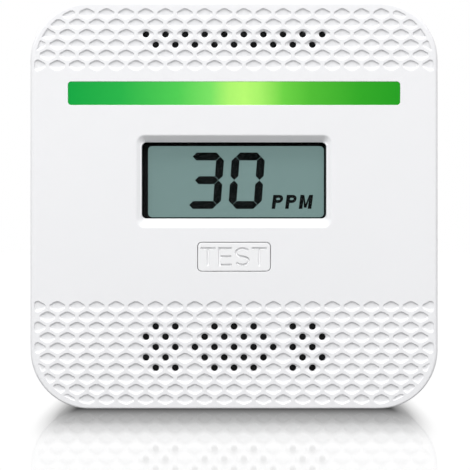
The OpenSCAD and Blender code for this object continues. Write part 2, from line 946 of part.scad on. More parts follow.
module rear_solids() {
    groove_t = 0.4;
    groove_in = 0.6;
    tongue_t = 1.1;
    hinge_block = [hole_w + 2 * flange_t + 1.4, groove_r + flange_t + 0.5, 6];
    difference() {
        union() {
            plate(split_d, groove_t + eps)
                body_outline(groove_in);
            plate(split_d + groove_t, body_d - edge_r - split_d - groove_t + eps)
                body_outline(0);
            translate([0, front_y + body_d - edge_r, body_h / 2])
                rotate([-90, 0, 0])
                    rounded_slab();
        }
        rear_cavity();
    }
    plate(split_d - tongue, tongue + 1)
        difference() {
            body_outline(wall + hug);
            body_outline(wall + hug + tongue_t);
        }
    plate(split_d, 1)
        difference() {
            body_outline(wall / 2 + 0.3);
            body_outline(wall + hug + tongue_t);
        }
    plate(bay_floor - bay_skin, body_d - back_t - bay_floor + bay_skin + eps)
        bay_outline(bay_wall);
    plate(door_d - flange_t, flange_t + eps)
        door_hole(flange_t);
    block(0, hinge_z, hinge_d - groove_r - flange_t, hinge_block);
    plate(recess_d - recess_floor, recess_floor + recess_depth - back_t + eps)
        recess_outline(recess_wall);
    for (side = [-1, 1], z = boss_z)
        bar(side * boss_x, z, boss_end, body_d - boss_end - eps, post_r);
}

module rear_cover() color("gainsboro") {
    rib = 1.2;
    difference() {
        rear_solids();
        plate(bay_floor, body_d)
            bay_outline(0);
        plate(door_d, body_d)
            door_hole(0);
        hinge_line(hole_w, groove_r);
        hinge_line(hole_w + 2 * pin_len + 0.6, hinge_pin_r + pin_gap);
        plate(recess_d, body_d)
            recess_outline(0);
        hook_windows();
        for (side = [-1, 1], z = boss_z) {
            bar(side * boss_x, z, screw_seat, body_d, screw_head_r + 0.3);
            bar(side * boss_x, z, boss_end - cut, body_d, screw_r + 0.4);
        }
        for (side = [-1, 1])
            translate([side > 0 ? bay_w / 2 - cut : -bay_w / 2 - bay_wall - cut,
                       front_y + lead_d, side > 0 ? cell_z[2] : cell_z[0]])
                rotate([0, 90, 0])
                    cylinder(h = bay_wall + 2 * cut, r = lead_hole_r);
        finger_notch();
    }
    for (i = [0, 1])
        block(0, (cell_z[i] + cell_z[i + 1]) / 2, bay_floor - eps, [bay_w - 8, 3.2, rib]);
}

// Scoop that lets a finger reach the latch
module finger_notch() {
    plate(body_d - 1.2, body_d)
        panel(0, hole_z0, 14, 5, 2);
}

module housing_screws() color("silver") {
    for (side = [-1, 1], z = boss_z)
        screw(side * boss_x, z, screw_seat, screw_r, screw_len, screw_head_r, screw_head_t);
}

// ---------- Battery door ----------

latch_w = 11;
latch_h = 9;
slit = 0.8;
grip_pitch = 1.6;
grip_depth = 0.5;

module battery_door() color("whitesmoke") {
    w = hole_w - 2 * door_gap;
    z0 = hole_z0 + door_gap;
    difference() {
        union() {
            translate([-w / 2, front_y + door_d + door_rest, z0])
                cube([w, door_t - door_rest, hinge_z - z0]);
            hinge_line(w, barrel_r);
            hinge_line(hole_w + 2 * pin_len, hinge_pin_r);
        }
        for (side = [-1, 1])
            block(side * latch_w / 2, z0 + latch_h / 2 - cut, door_d - cut,
                  [slit, door_t + 2 * cut, latch_h + cut]);
        for (i = [0:3])
            block(0, z0 + 2.4 + i * grip_pitch, body_d - grip_depth, [latch_w - 3, 1, 0.7]);
    }
}

// ---------- Cells ----------

tip_len = 1.2;
tip_r = 2.75;
cell_start = bay_w / 2 - plate_t - tip_boss;

module battery(i) {
    d = cell_d;
    translate([tip_side[i] * cell_start, front_y + d, cell_z[i]])
        rotate([0, -90 * tip_side[i], 0]) {
            translate([0, 0, tip_len])
                cylinder(h = cell_len - tip_len, r = cell_dia / 2);
            cylinder(h = tip_len + eps, r = tip_r);
        }
}

module battery_1() color("steelblue") battery(0);
module battery_2() color("steelblue") battery(1);
module battery_3() color("steelblue") battery(2);

// Conical spring along X, wide against the plate
module cone_spring(side, z) {
    turns = 3;
    steps = 12;
    sides = 6;
    wire = 0.4;
    wide = 4.6;
    narrow = 2.4;
    travel = spring_len - 2 * wire - 0.04;
    start = bay_w / 2 - plate_t - wire - 0.02;
    count = turns * steps + 1;
    points = [
        for (i = [0:count - 1])
            let (part = i / (count - 1), turn = 360 * i / steps, r = wide + (narrow - wide) * part)
            let (out = [0, cos(turn), sin(turn)])
            for (s = [0:sides - 1])
                let (a = 360 * s / sides)
                [side * (start - travel * part - wire * sin(a)), 0, 0] + (r + wire * cos(a)) * out
    ];
    faces = [
        [for (s = [0:sides - 1]) s],
        for (i = [0:count - 2], s = [0:sides - 1])
            let (a = i * sides + s, b = i * sides + (s + 1) % sides)
            each [[a, a + sides, b], [b, a + sides, b + sides]],
        [for (s = [sides - 1:-1:0]) (count - 1) * sides + s]
    ];
    translate([0, front_y + cell_d, z])
        polyhedron(points, side > 0 ? faces : [for (f = faces) [for (k = [len(f) - 1:-1:0]) f[k]]]);
}

module cell_springs() color("silver") {
    for (i = [0:2])
        cone_spring(-tip_side[i], cell_z[i]);
}

// Sheet metal against one end of the bay, from one cell's height to another's
module end_plate(side, z_a, z_b) {
    x = side * (bay_w - plate_t) / 2;
    size = 11;
    block(x, (z_a + z_b) / 2, cell_d - size / 2, [plate_t, size, z_b - z_a + size]);
}

module cell_plates() color("silver") {
    end_plate(1, cell_z[2], cell_z[2]);
    end_plate(-1, cell_z[1], cell_z[2]);
    end_plate(1, cell_z[0], cell_z[1]);
    end_plate(-1, cell_z[0], cell_z[0]);
    for (i = [0:2])
        translate([tip_side[i] * (cell_start + (tip_boss + eps) / 2), front_y + cell_d, cell_z[i]])
            rotate([0, 90, 0])
                cylinder(h = tip_boss - eps, r = 3.2, center = true);
}

// ---------- Wall bracket ----------

module slot_shape(r, len) {
    square([len - 2 * r, 2 * r], center = true);
    for (side = [-1, 1])
        translate([side * (len / 2 - r), 0])
            circle(r);
}

module hook(x, z) {
    lip_d = recess_d - recess_floor - lip_gap - hook_lip;
    arm_z = z - hook_gap - hook_arm / 2;
    rise = hook_gap + hook_reach;
    block(x, arm_z, lip_d, [hook_w, bracket_d - lip_d + eps, hook_arm]);
    block(x, arm_z + rise / 2, lip_d, [hook_w, hook_lip, hook_arm + rise]);
}

module wall_bracket() color("lightgray") {
    difference() {
        plate(bracket_d, bracket_t)
            panel(0, slot_z, bracket_w, bracket_h, bracket_r);
        for (side = [-1, 1])
            translate([side * slot_spacing / 2, 0, 0]) {
                plate(bracket_d - cut, bracket_t + 2 * cut)
                    translate([0, slot_z])
                        slot_shape(slot_r, slot_len);
                plate(bracket_d - cut, bracket_t - slot_wall + cut)
                    translate([0, slot_z])
                        slot_shape(slot_head_r, slot_len + 2 * (slot_head_r - slot_r));
            }
    }
    for (side = [-1, 1], z = hook_top)
        hook(side * hook_x, z);
}

front_cover();
light_bar();
display_lens();
display_mask();
test_button();
lcd_front_glass();
lcd_segments();
lcd_rear_glass();
lcd_backlight();
lcd_holder();
lcd_contact_strip();
light_box();
led_green();
led_yellow();
led_red();
main_board();
board_screws();
test_switch_body();
test_switch_stem();
sounder_case();
sounder_disc();
sounder_pins();
sounder_gasket();
sensor_can();
sensor_cap();
sensor_filter();
sensor_pins();
sensor_gasket();
dust_screen_top();
dust_screen_bottom();
mcu_chip();
amplifier_chip();
boost_coil();
coil_winding();
electrolytic_capacitors();
chip_resistors();
chip_capacitors();
crystal();
driver_transistor();
lead_socket();
lead_plug();
battery_lead_red();
battery_lead_black();
rear_cover();
housing_screws();
battery_door();
battery_1();
battery_2();
battery_3();
cell_springs();
cell_plates();
wall_bracket();
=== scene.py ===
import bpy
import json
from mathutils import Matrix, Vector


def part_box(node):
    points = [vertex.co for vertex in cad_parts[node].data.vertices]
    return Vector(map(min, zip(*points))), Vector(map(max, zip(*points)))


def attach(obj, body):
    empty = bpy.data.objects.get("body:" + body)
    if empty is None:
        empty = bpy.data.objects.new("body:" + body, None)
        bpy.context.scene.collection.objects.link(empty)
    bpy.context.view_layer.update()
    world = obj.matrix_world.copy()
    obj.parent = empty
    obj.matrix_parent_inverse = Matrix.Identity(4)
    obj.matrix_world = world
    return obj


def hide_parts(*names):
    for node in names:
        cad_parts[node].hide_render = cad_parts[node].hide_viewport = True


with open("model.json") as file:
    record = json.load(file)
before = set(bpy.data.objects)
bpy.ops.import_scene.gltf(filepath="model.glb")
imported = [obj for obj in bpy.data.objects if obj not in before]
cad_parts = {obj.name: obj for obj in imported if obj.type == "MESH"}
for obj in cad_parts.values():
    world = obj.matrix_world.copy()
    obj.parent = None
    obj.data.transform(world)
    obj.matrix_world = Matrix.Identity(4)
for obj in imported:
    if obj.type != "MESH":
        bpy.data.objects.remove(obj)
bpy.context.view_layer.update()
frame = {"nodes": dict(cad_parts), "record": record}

import json
import math

import bmesh
import bpy
from mathutils import Vector
from mathutils.geometry import delaunay_2d_cdt

# A carbon monoxide detector. Pieces are drawn in millimetres as (x, z) outlines at a depth
# behind the front face, and turned into metres when they are built.
MM = 0.001
NODES = frame["nodes"]


def node_box(name):
    """Lowest and highest corner of a CAD node in millimetres, the middle value as a depth."""
    low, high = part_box(name)
    return (
        Vector((low.x / MM, low.y / MM - FRONT_Y, low.z / MM)),
        Vector((high.x / MM, high.y / MM - FRONT_Y, high.z / MM)),
    )


FRONT_Y = 0.0
FRONT_Y = node_box("front_cover")[0].y
COVER_LOW, COVER_HIGH = node_box("front_cover")
BODY_W = COVER_HIGH.x - COVER_LOW.x
BODY_H = COVER_HIGH.z - COVER_LOW.z
SPLIT_D = COVER_HIGH.y

# Housing
CORNER_R = 13.6
WALL = 2.0
FACE_T = node_box("display_lens")[0].y
EDGE_R = 0.85
FOOT_EDGE_R = 0.35

# Texture
CELL_PITCH = 4.525
ROW_PITCH = 2.385
CELL_PEAK = 1.27
RIDGE = 0.98
TOP_ROW_Z = BODY_H - 2.82
LOW_ROW_Z = 2.2
TOP_ROWS = 6
LOW_ROWS = 10
LOW_VENT_ROW = 5
VENT_R = 0.79
BORDER_IN = 0.9
BORDER_R = 14.2
CELL_MARGIN = 0.08

# Openings of the front
LENS_EDGE = 1.9
LENS_LOW, LENS_HIGH = node_box("display_lens")
WINDOW_W = LENS_HIGH.x - LENS_LOW.x - 2 * LENS_EDGE
WINDOW_H = LENS_HIGH.z - LENS_LOW.z - 2 * LENS_EDGE
WINDOW_Z = (LENS_HIGH.z + LENS_LOW.z) / 2
BEVEL_SIDE = 1.2
BEVEL_TOP = 1.5
BEVEL_LOW = 2.0
BEVEL_D = 1.2
BAR_FLANGE = 1.5
BAR_LOW, BAR_HIGH = node_box("light_bar")
BAR_W = BAR_HIGH.x - BAR_LOW.x - 2 * BAR_FLANGE
BAR_H = BAR_HIGH.z - BAR_LOW.z - 2 * BAR_FLANGE
BAR_Z = (BAR_HIGH.z + BAR_LOW.z) / 2
BAR_R = 0.6
BUTTON_FLANGE = 0.8
BUTTON_LOW, BUTTON_HIGH = node_box("test_button")
BUTTON_W = BUTTON_HIGH.x - BUTTON_LOW.x - 2 * BUTTON_FLANGE
BUTTON_H = BUTTON_HIGH.z - BUTTON_LOW.z - 2 * BUTTON_FLANGE
BUTTON_Z = (BUTTON_HIGH.z + BUTTON_LOW.z) / 2
BUTTON_R = 0.9
BUTTON_GAP = 0.13

# Outputs of the groups that colour a surface
SURFACE_OUTPUTS = [
    ("Color", "NodeSocketColor"),
    ("Roughness", "NodeSocketFloat"),
    ("Height", "NodeSocketFloat"),
]


# ---------- Camera, floor and light ----------

def make_camera():
    """Level camera straight in front, a little under the middle of the detector."""
    lens = 120.0
    sensor = 36.0
    seen_width = 108.32
    height = 40.03
    data = bpy.data.cameras.new("camera")
    data.lens = lens
    data.sensor_width = sensor
    data.clip_start = 0.01
    camera = bpy.data.objects.new("camera", data)
    distance = seen_width * lens / sensor
    camera.location = (0.22 * MM, (FRONT_Y - distance) * MM, height * MM)
    camera.rotation_euler = (math.radians(90), 0, 0)
    bpy.context.scene.collection.objects.link(camera)
    bpy.context.scene.camera = camera


def make_area(name, place, aim, size, power):
    """Rectangular soft light, turned towards a point."""
    data = bpy.data.lights.new(name, "AREA")
    data.shape = "RECTANGLE"
    data.size = size[0]
    data.size_y = size[1]
    data.energy = power
    light = bpy.data.objects.new(name, data)
    light.location = place
    light.rotation_euler = (Vector(aim) - Vector(place)).to_track_quat("-Z", "Y").to_euler()
    bpy.context.scene.collection.objects.link(light)


def make_lights():
    """Key light in front and above, and a weaker one from behind."""
    aim = (0, 0, BODY_H / 2 * MM)
    make_area("key_soft_box", (-0.17, -1.05, 1.29), aim, (0.96, 0.6), 25.5)
    make_area("back_soft_box", (0, 0.55, 0.62), (0, 0, 0), (0.8, 0.4), 5.0)


def make_world():
    """White surround. It looks brighter, straight and in reflections, than it lights."""
    world = bpy.data.worlds.new("studio")
    bpy.context.scene.world = world
    world.use_nodes = True
    tree = world.node_tree
    tree.nodes.clear()
    output = tree.nodes.new("ShaderNodeOutputWorld")
    shown = tree.nodes.new("ShaderNodeBackground")
    shown.inputs["Color"].default_value = (1, 1, 1, 1)
    shown.inputs["Strength"].default_value = 1.0
    lit = tree.nodes.new("ShaderNodeBackground")
    lit.inputs["Color"].default_value = (0.97, 0.98, 1, 1)
    lit.inputs["Strength"].default_value = 0.5
    path = tree.nodes.new("ShaderNodeLightPath")
    mix = tree.nodes.new("ShaderNodeMixShader")
    seen = add_math(tree, "MAXIMUM", path.outputs["Is Camera Ray"], path.outputs["Is Glossy Ray"])
    tree.links.new(seen, mix.inputs[0])
    tree.links.new(lit.outputs[0], mix.inputs[1])
    tree.links.new(shown.outputs[0], mix.inputs[2])
    tree.links.new(mix.outputs[0], output.inputs["Surface"])


# ---------- Shader groups ----------

def new_group(name, inputs, outputs):
    """Empty shader group with its sockets. inputs is a list of (name, type, default)."""
    group = bpy.data.node_groups.new(name, "ShaderNodeTree")
    for label, kind, value in inputs:
        socket = group.interface.new_socket(label, in_out="INPUT", socket_type=kind)
        socket.default_value = value
    for label, kind in outputs:
        group.interface.new_socket(label, in_out="OUTPUT", socket_type=kind)
    source = group.nodes.new("NodeGroupInput")
    sink = group.nodes.new("NodeGroupOutput")
    return group, source, sink


def add_math(tree, operation, a, b=None, clamp=False):
    """Math node. A number sets an input, and a socket is linked to it."""
    node = tree.nodes.new("ShaderNodeMath")
    node.operation = operation
    node.use_clamp = clamp
    for index, value in enumerate((a, b)):
        if value is None:
            continue
        if isinstance(value, (int, float)):
            node.inputs[index].default_value = value
        else:
            tree.links.new(value, node.inputs[index])
    return node.outputs[0]


def add_noise(tree, vector, scale, detail=3.0, roughness=0.5):
    """Fractal noise. The scale is a number or a socket."""
    node = tree.nodes.new("ShaderNodeTexNoise")
    node.inputs["Detail"].default_value = detail
    node.inputs["Roughness"].default_value = roughness
    if isinstance(scale, (int, float)):
        node.inputs["Scale"].default_value = scale
    else:
        tree.links.new(scale, node.inputs["Scale"])
    tree.links.new(vector, node.inputs["Vector"])
    return node.outputs["Fac"]


def add_ramp(tree, factor, stops):
    """stops is a list of (position, colour)."""
    node = tree.nodes.new("ShaderNodeValToRGB")
    ramp = node.color_ramp
    ramp.elements[0].position, ramp.elements[0].color = stops[0][0], (*stops[0][1], 1)
    ramp.elements[1].position, ramp.elements[1].color = stops[-1][0], (*stops[-1][1], 1)
    for position, colour in stops[1:-1]:
        element = ramp.elements.new(position)
        element.color = (*colour, 1)
    tree.links.new(factor, node.inputs["Fac"])
    return node.outputs["Color"]


def place_in_mm(tree):
    """Object coordinates in millimetres."""
    coordinates = tree.nodes.new("ShaderNodeTexCoord")
    scale = tree.nodes.new("ShaderNodeVectorMath")
    scale.operation = "SCALE"
    scale.inputs["Scale"].default_value = 1 / MM
    tree.links.new(coordinates.outputs["Object"], scale.inputs[0])
    return scale.outputs["Vector"]


def make_grain_group():
    """Spark eroded moulding grain, and the slow tone change of a thick moulding."""
    group, source, sink = new_group(
        "moulding_grain",
        [
            ("Color", "NodeSocketColor", (0.8, 0.8, 0.8, 1)),
            ("Grain size", "NodeSocketFloat", 0.2),
            ("Tone shift", "NodeSocketFloat", 0.03),
            ("Base roughness", "NodeSocketFloat", 0.4),
            ("Roughness spread", "NodeSocketFloat", 0.1),
        ],
        SURFACE_OUTPUTS,
    )
    place = place_in_mm(group)
    fine_scale = add_math(group, "DIVIDE", 1.0, source.outputs["Grain size"])
    fine = add_noise(group, place, fine_scale, 2.0, 0.6)
    slow = add_noise(group, place, 0.045, 2.0, 0.5)
    tone = add_math(group, "SUBTRACT", slow, 0.5)
    tone = add_math(group, "MULTIPLY", tone, source.outputs["Tone shift"])
    tone = add_math(group, "ADD", tone, 1.0)
    shade = group.nodes.new("ShaderNodeVectorMath")
    shade.operation = "SCALE"
    group.links.new(source.outputs["Color"], shade.inputs[0])
    group.links.new(tone, shade.inputs["Scale"])
    spread = add_math(group, "SUBTRACT", fine, 0.5)
    spread = add_math(group, "MULTIPLY", spread, source.outputs["Roughness spread"])
    rough = add_math(group, "ADD", source.outputs["Base roughness"], spread)
    group.links.new(shade.outputs["Vector"], sink.inputs["Color"])
    group.links.new(rough, sink.inputs["Roughness"])
    group.links.new(fine, sink.inputs["Height"])
    return group


def make_brushed_group():
    """Fine lines along X, as on rolled or turned metal."""
    group, source, sink = new_group(
        "brushed_metal",
        [
            ("Color", "NodeSocketColor", (0.7, 0.7, 0.7, 1)),
            ("Line spacing", "NodeSocketFloat", 0.1),
            ("Base roughness", "NodeSocketFloat", 0.3),
        ],
        SURFACE_OUTPUTS,
    )
    place = place_in_mm(group)
    stretch = group.nodes.new("ShaderNodeVectorMath")
    stretch.operation = "MULTIPLY"
    stretch.inputs[1].default_value = (0.06, 1, 1)
    group.links.new(place, stretch.inputs[0])
    scale = add_math(group, "DIVIDE", 1.0, source.outputs["Line spacing"])
    lines = add_noise(group, stretch.outputs["Vector"], scale, 3.0, 0.6)
    patch = add_noise(group, place, 0.4, 2.0, 0.5)
    tone = add_math(group, "MULTIPLY_ADD", patch, 0.2)
    group.nodes[-1].inputs[2].default_value = 0.9
    shade = group.nodes.new("ShaderNodeVectorMath")
    shade.operation = "SCALE"
    group.links.new(source.outputs["Color"], shade.inputs[0])
    group.links.new(tone, shade.inputs["Scale"])
    spread = add_math(group, "MULTIPLY", lines, 0.25)
    rough = add_math(group, "ADD", source.outputs["Base roughness"], spread)
    group.links.new(shade.outputs["Vector"], sink.inputs["Color"])
    group.links.new(rough, sink.inputs["Roughness"])
    group.links.new(lines, sink.inputs["Height"])
    return group


def make_weave_group():
    """Square woven mesh seen in the (x, z) plane: 1 on the threads, 0 in the holes."""
    group, source, sink = new_group(
        "woven_screen",
        [("Thread pitch", "NodeSocketFloat", 0.25)],
        [("Thread", "NodeSocketFloat")],
    )
    place = place_in_mm(group)
    split = group.nodes.new("ShaderNodeSeparateXYZ")
    group.links.new(place, split.inputs[0])
    waves = []
    for axis in ("X", "Z"):
        phase = add_math(group, "DIVIDE", split.outputs[axis], source.outputs["Thread pitch"])
        phase = add_math(group, "MULTIPLY", phase, 2 * math.pi)
        wave = add_math(group, "SINE", phase)
        waves.append(wave)
    thread = add_math(group, "MAXIMUM", waves[0], waves[1])
    thread = add_math(group, "MULTIPLY_ADD", thread, 0.5)
    group.nodes[-1].inputs[2].default_value = 0.5
    group.links.new(thread, sink.inputs["Thread"])
    return group


GRAIN = make_grain_group()
BRUSHED = make_brushed_group()
WEAVE = make_weave_group()


# ---------- Materials ----------

def new_material(name):
    """New material, its node tree and its shader."""
    material = bpy.data.materials.new(name)
    material.use_nodes = True
    shader = material.node_tree.nodes["Principled BSDF"]
    return material, material.node_tree, shader


def add_group(tree, group, **values):
    """Places a shader group with its own values."""
    node = tree.nodes.new("ShaderNodeGroup")
    node.node_tree = group
    for label, value in values.items():
        node.inputs[label.replace("_", " ")].default_value = value
    return node


def add_bump(tree, shader, height, strength, distance):
    """Small relief from a height, its distance in millimetres."""
    bump = tree.nodes.new("ShaderNodeBump")
    bump.inputs["Strength"].default_value = strength
    bump.inputs["Distance"].default_value = distance * MM
    tree.links.new(height, bump.inputs["Height"])
    tree.links.new(bump.outputs["Normal"], shader.inputs["Normal"])


def plastic(
    name, colour, roughness=0.42, grain=0.2, strength=0.12, tone=0.03, spread=0.12, shine=0.5
):
    """Moulded plastic with its eroded grain."""
    material, tree, shader = new_material(name)
    node = add_group(
        tree,
        GRAIN,
        Color=(*colour, 1),
        Grain_size=grain,
        Tone_shift=tone,
        Base_roughness=roughness,
        Roughness_spread=spread,
    )
    tree.links.new(node.outputs["Color"], shader.inputs["Base Color"])
    tree.links.new(node.outputs["Roughness"], shader.inputs["Roughness"])
    shader.inputs["Specular IOR Level"].default_value = shine
    add_bump(tree, shader, node.outputs["Height"], strength, 0.02)
    return material


def metal(name, colour, roughness=0.22, spacing=0.12, strength=0.15):
    material, tree, shader = new_material(name)
    shader.inputs["Metallic"].default_value = 1.0
    node = add_group(
        tree, BRUSHED, Color=(*colour, 1), Line_spacing=spacing, Base_roughness=roughness
    )
    tree.links.new(node.outputs["Color"], shader.inputs["Base Color"])
    tree.links.new(node.outputs["Roughness"], shader.inputs["Roughness"])
    add_bump(tree, shader, node.outputs["Height"], strength, 0.01)
    return material


def screen_mesh(name):
    material, tree, shader = new_material(name)
    node = add_group(tree, WEAVE, Thread_pitch=0.22)
    shades = [(0.35, (0.001, 0.001, 0.001)), (0.8, (0.012, 0.012, 0.013))]
    colour = add_ramp(tree, node.outputs["Thread"], shades)
    tree.links.new(colour, shader.inputs["Base Color"])
    shader.inputs["Roughness"].default_value = 0.85
    add_bump(tree, shader, node.outputs["Thread"], 0.5, 0.05)
    return material


def across_width(tree, low, high):
    """0 at x = low and 1 at x = high, both in millimetres."""
    split = tree.nodes.new("ShaderNodeSeparateXYZ")
    tree.links.new(place_in_mm(tree), split.inputs[0])
    part = add_math(tree, "SUBTRACT", split.outputs["X"], low)
    return add_math(tree, "DIVIDE", part, high - low)


def light_pipe(name):
    """Diffusing acrylic, lit from behind: deep green at the left, yellow green by the lamp."""
    material, tree, shader = new_material(name)
    stops = [
        (0.00, (0.004, 0.375, 0.050)),
        (0.16, (0.020, 0.450, 0.062)),
        (0.33, (0.080, 0.610, 0.084)),
        (0.43, (0.200, 0.760, 0.125)),
        (0.485, (0.420, 0.910, 0.155)),
        (0.53, (0.480, 0.960, 0.165)),
        (0.575, (0.400, 0.890, 0.140)),
        (0.65, (0.150, 0.640, 0.055)),
        (0.73, (0.080, 0.500, 0.030)),
        (0.88, (0.030, 0.385, 0.014)),
        (1.00, (0.016, 0.335, 0.010)),
    ]
    factor = across_width(tree, -BAR_W / 2, BAR_W / 2)
    glow = add_ramp(tree, factor, stops)
    cloud = add_noise(tree, place_in_mm(tree), 0.9, 3.0, 0.5)
    cloud = add_math(tree, "MULTIPLY_ADD", cloud, 0.06)
    tree.nodes[-1].inputs[2].default_value = 0.97
    shade = tree.nodes.new("ShaderNodeVectorMath")
    shade.operation = "SCALE"
    tree.links.new(glow, shade.inputs[0])
    tree.links.new(cloud, shade.inputs["Scale"])
    tree.links.new(shade.outputs["Vector"], shader.inputs["Emission Color"])
    shader.inputs["Emission Strength"].default_value = 1.0
    shader.inputs["Base Color"].default_value = (0.0, 0.01, 0.003, 1)
    shader.inputs["Roughness"].default_value = 0.55
    shader.inputs["Specular IOR Level"].default_value = 0.08
    return material


def lit_reflector(name, colour, glow):
    """Pale reflector of the display, evenly lit from behind. The glow is partly the backlight and partly painted
    light that evens out the shade the window's rim casts on the display.
    """
    material, tree, shader = new_material(name)
    node = add_group(
        tree,
        GRAIN,
        Color=(*colour, 1),
        Grain_size=0.12,
        Tone_shift=0.05,
        Base_roughness=0.6,
        Roughness_spread=0.05,
    )
    tree.links.new(node.outputs["Color"], shader.inputs["Base Color"])
    tree.links.new(node.outputs["Roughness"], shader.inputs["Roughness"])
    # The glow is the backlight and painted light too: it fills in the shade the window's rim casts on the display.
    tree.links.new(node.outputs["Color"], shader.inputs["Emission Color"])
    shader.inputs["Emission Strength"].default_value = glow
    shader.inputs["Specular IOR Level"].default_value = 0.1
    return material


def clear_sheet(name, colour, alpha, roughness=0.06):
    """Clear acrylic or glass with a faint surface haze."""
    material, tree, shader = new_material(name)
    node = add_group(
        tree,
        GRAIN,
        Color=(*colour, 1),
        Grain_size=1.5,
        Tone_shift=0.05,
        Base_roughness=roughness,
        Roughness_spread=0.04,
    )
    tree.links.new(node.outputs["Color"], shader.inputs["Base Color"])
    tree.links.new(node.outputs["Roughness"], shader.inputs["Roughness"])
    shader.inputs["Alpha"].default_value = alpha
    shader.inputs["Specular IOR Level"].default_value = 0.15
    return material


def cell_wrap(name):
    """Shrink sleeve of a cell: dark body with a light band at the tip end."""
    material, tree, shader = new_material(name)
    grain = add_group(
        tree,
        GRAIN,
        Color=(1, 1, 1, 1),
        Grain_size=0.6,
        Tone_shift=0.06,
        Base_roughness=0.24,
        Roughness_spread=0.06,
    )
    factor = across_width(tree, -25.0, 27.0)
    band = add_ramp(tree, factor, [(0.0, (0.10, 0.13, 0.17)), (0.70, (0.10, 0.13, 0.17)),
                                   (0.72, (0.72, 0.74, 0.76)), (1.0, (0.72, 0.74, 0.76))])
    tint = tree.nodes.new("ShaderNodeVectorMath")
    tint.operation = "MULTIPLY"
    tree.links.new(band, tint.inputs[0])
    tree.links.new(grain.outputs["Color"], tint.inputs[1])
    tree.links.new(tint.outputs["Vector"], shader.inputs["Base Color"])
    tree.links.new(grain.outputs["Roughness"], shader.inputs["Roughness"])
    return material


def make_materials():
    """All finishes, by the names of the record's slots."""
    return {
        "housing_plastic": plastic(
            "white_moulding", (0.84, 0.84, 0.85), 0.40, 0.16, 0.10, 0.02, 0.10
        ),
        "button_plastic": plastic(
            "button_moulding", (0.85, 0.85, 0.855), 0.40, 0.16, 0.08, 0.02, 0.10
        ),
        "light_pipe": light_pipe("lit_diffuser"),
        "clear_lens": clear_sheet("clear_window", (0.02, 0.03, 0.03), 0.03),
        "black_print": plastic(
            "black_screen_print", (0.004, 0.004, 0.0045), 0.5, 0.3, 0.05, shine=0.06
        ),
        "lcd_glass": clear_sheet("display_front_glass", (0.02, 0.03, 0.03), 0.04),
        "lcd_ink": plastic("display_segments", (0.0015, 0.002, 0.002), 0.5, 0.3, 0.02, shine=0.05),
        "lcd_back": lit_reflector("display_reflector", (0.045, 0.069, 0.0665), 3.72),
        "diffuser": plastic("milky_light_guide", (0.75, 0.80, 0.78), 0.5, 0.4, 0.05),
        "dark_moulding": plastic("dark_moulding", (0.018, 0.018, 0.020), 0.45, 0.2, 0.15),
        "white_moulding": plastic("reflector_moulding", (0.80, 0.80, 0.78), 0.5, 0.3, 0.1),
        "contact_rubber": plastic("layered_rubber", (0.35, 0.16, 0.08), 0.7, 0.12, 0.3, 0.2),
        "board_laminate": plastic("board_lacquer", (0.010, 0.085, 0.030), 0.28, 0.5, 0.2, 0.25),
        "steel": metal("plated_steel", (0.60, 0.60, 0.61), 0.26),
        "spring_steel": metal("nickel_strip", (0.68, 0.67, 0.64), 0.20),
        "brass_disc": metal("brass_sheet", (0.68, 0.46, 0.16), 0.30),
        "gold_pin": metal("gold_plate", (0.80, 0.56, 0.20), 0.20),
        "copper_wire": metal("enamelled_copper", (0.55, 0.20, 0.07), 0.28, 0.3, 0.6),
        "black_foam": plastic("foam", (0.010, 0.010, 0.010), 0.9, 0.35, 0.8),
        "screen_mesh": screen_mesh("dust_screen"),
        "filter_felt": plastic("carbon_felt", (0.008, 0.008, 0.008), 0.95, 0.15, 1.0),
        "chip_plastic": plastic("chip_body", (0.012, 0.012, 0.013), 0.55, 0.08, 0.3),
        "can_aluminium": metal("drawn_aluminium", (0.70, 0.71, 0.73), 0.28),
        "tan_ceramic": plastic("fired_ceramic", (0.36, 0.24, 0.13), 0.5, 0.1, 0.2),
        "led_green_lens": plastic("green_lamp", (0.10, 0.75, 0.10), 0.2, 0.3, 0.02),
        "led_yellow_lens": plastic("yellow_lamp", (0.80, 0.55, 0.05), 0.2, 0.3, 0.02),
        "led_red_lens": plastic("red_lamp", (0.65, 0.03, 0.02), 0.2, 0.3, 0.02),
        "ivory_plastic": plastic("nylon_connector", (0.72, 0.68, 0.56), 0.4, 0.25, 0.1),
        "red_insulation": plastic("red_insulation", (0.50, 0.015, 0.012), 0.45, 0.3, 0.1),
        "black_insulation": plastic("black_insulation", (0.010, 0.010, 0.010), 0.45, 0.3, 0.1),
        "cell_wrap": cell_wrap("cell_sleeve"),
        "bracket_plastic": plastic("bracket_moulding", (0.66, 0.66, 0.67), 0.48, 0.22, 0.15, 0.03),
    }


# ---------- Building meshes ----------

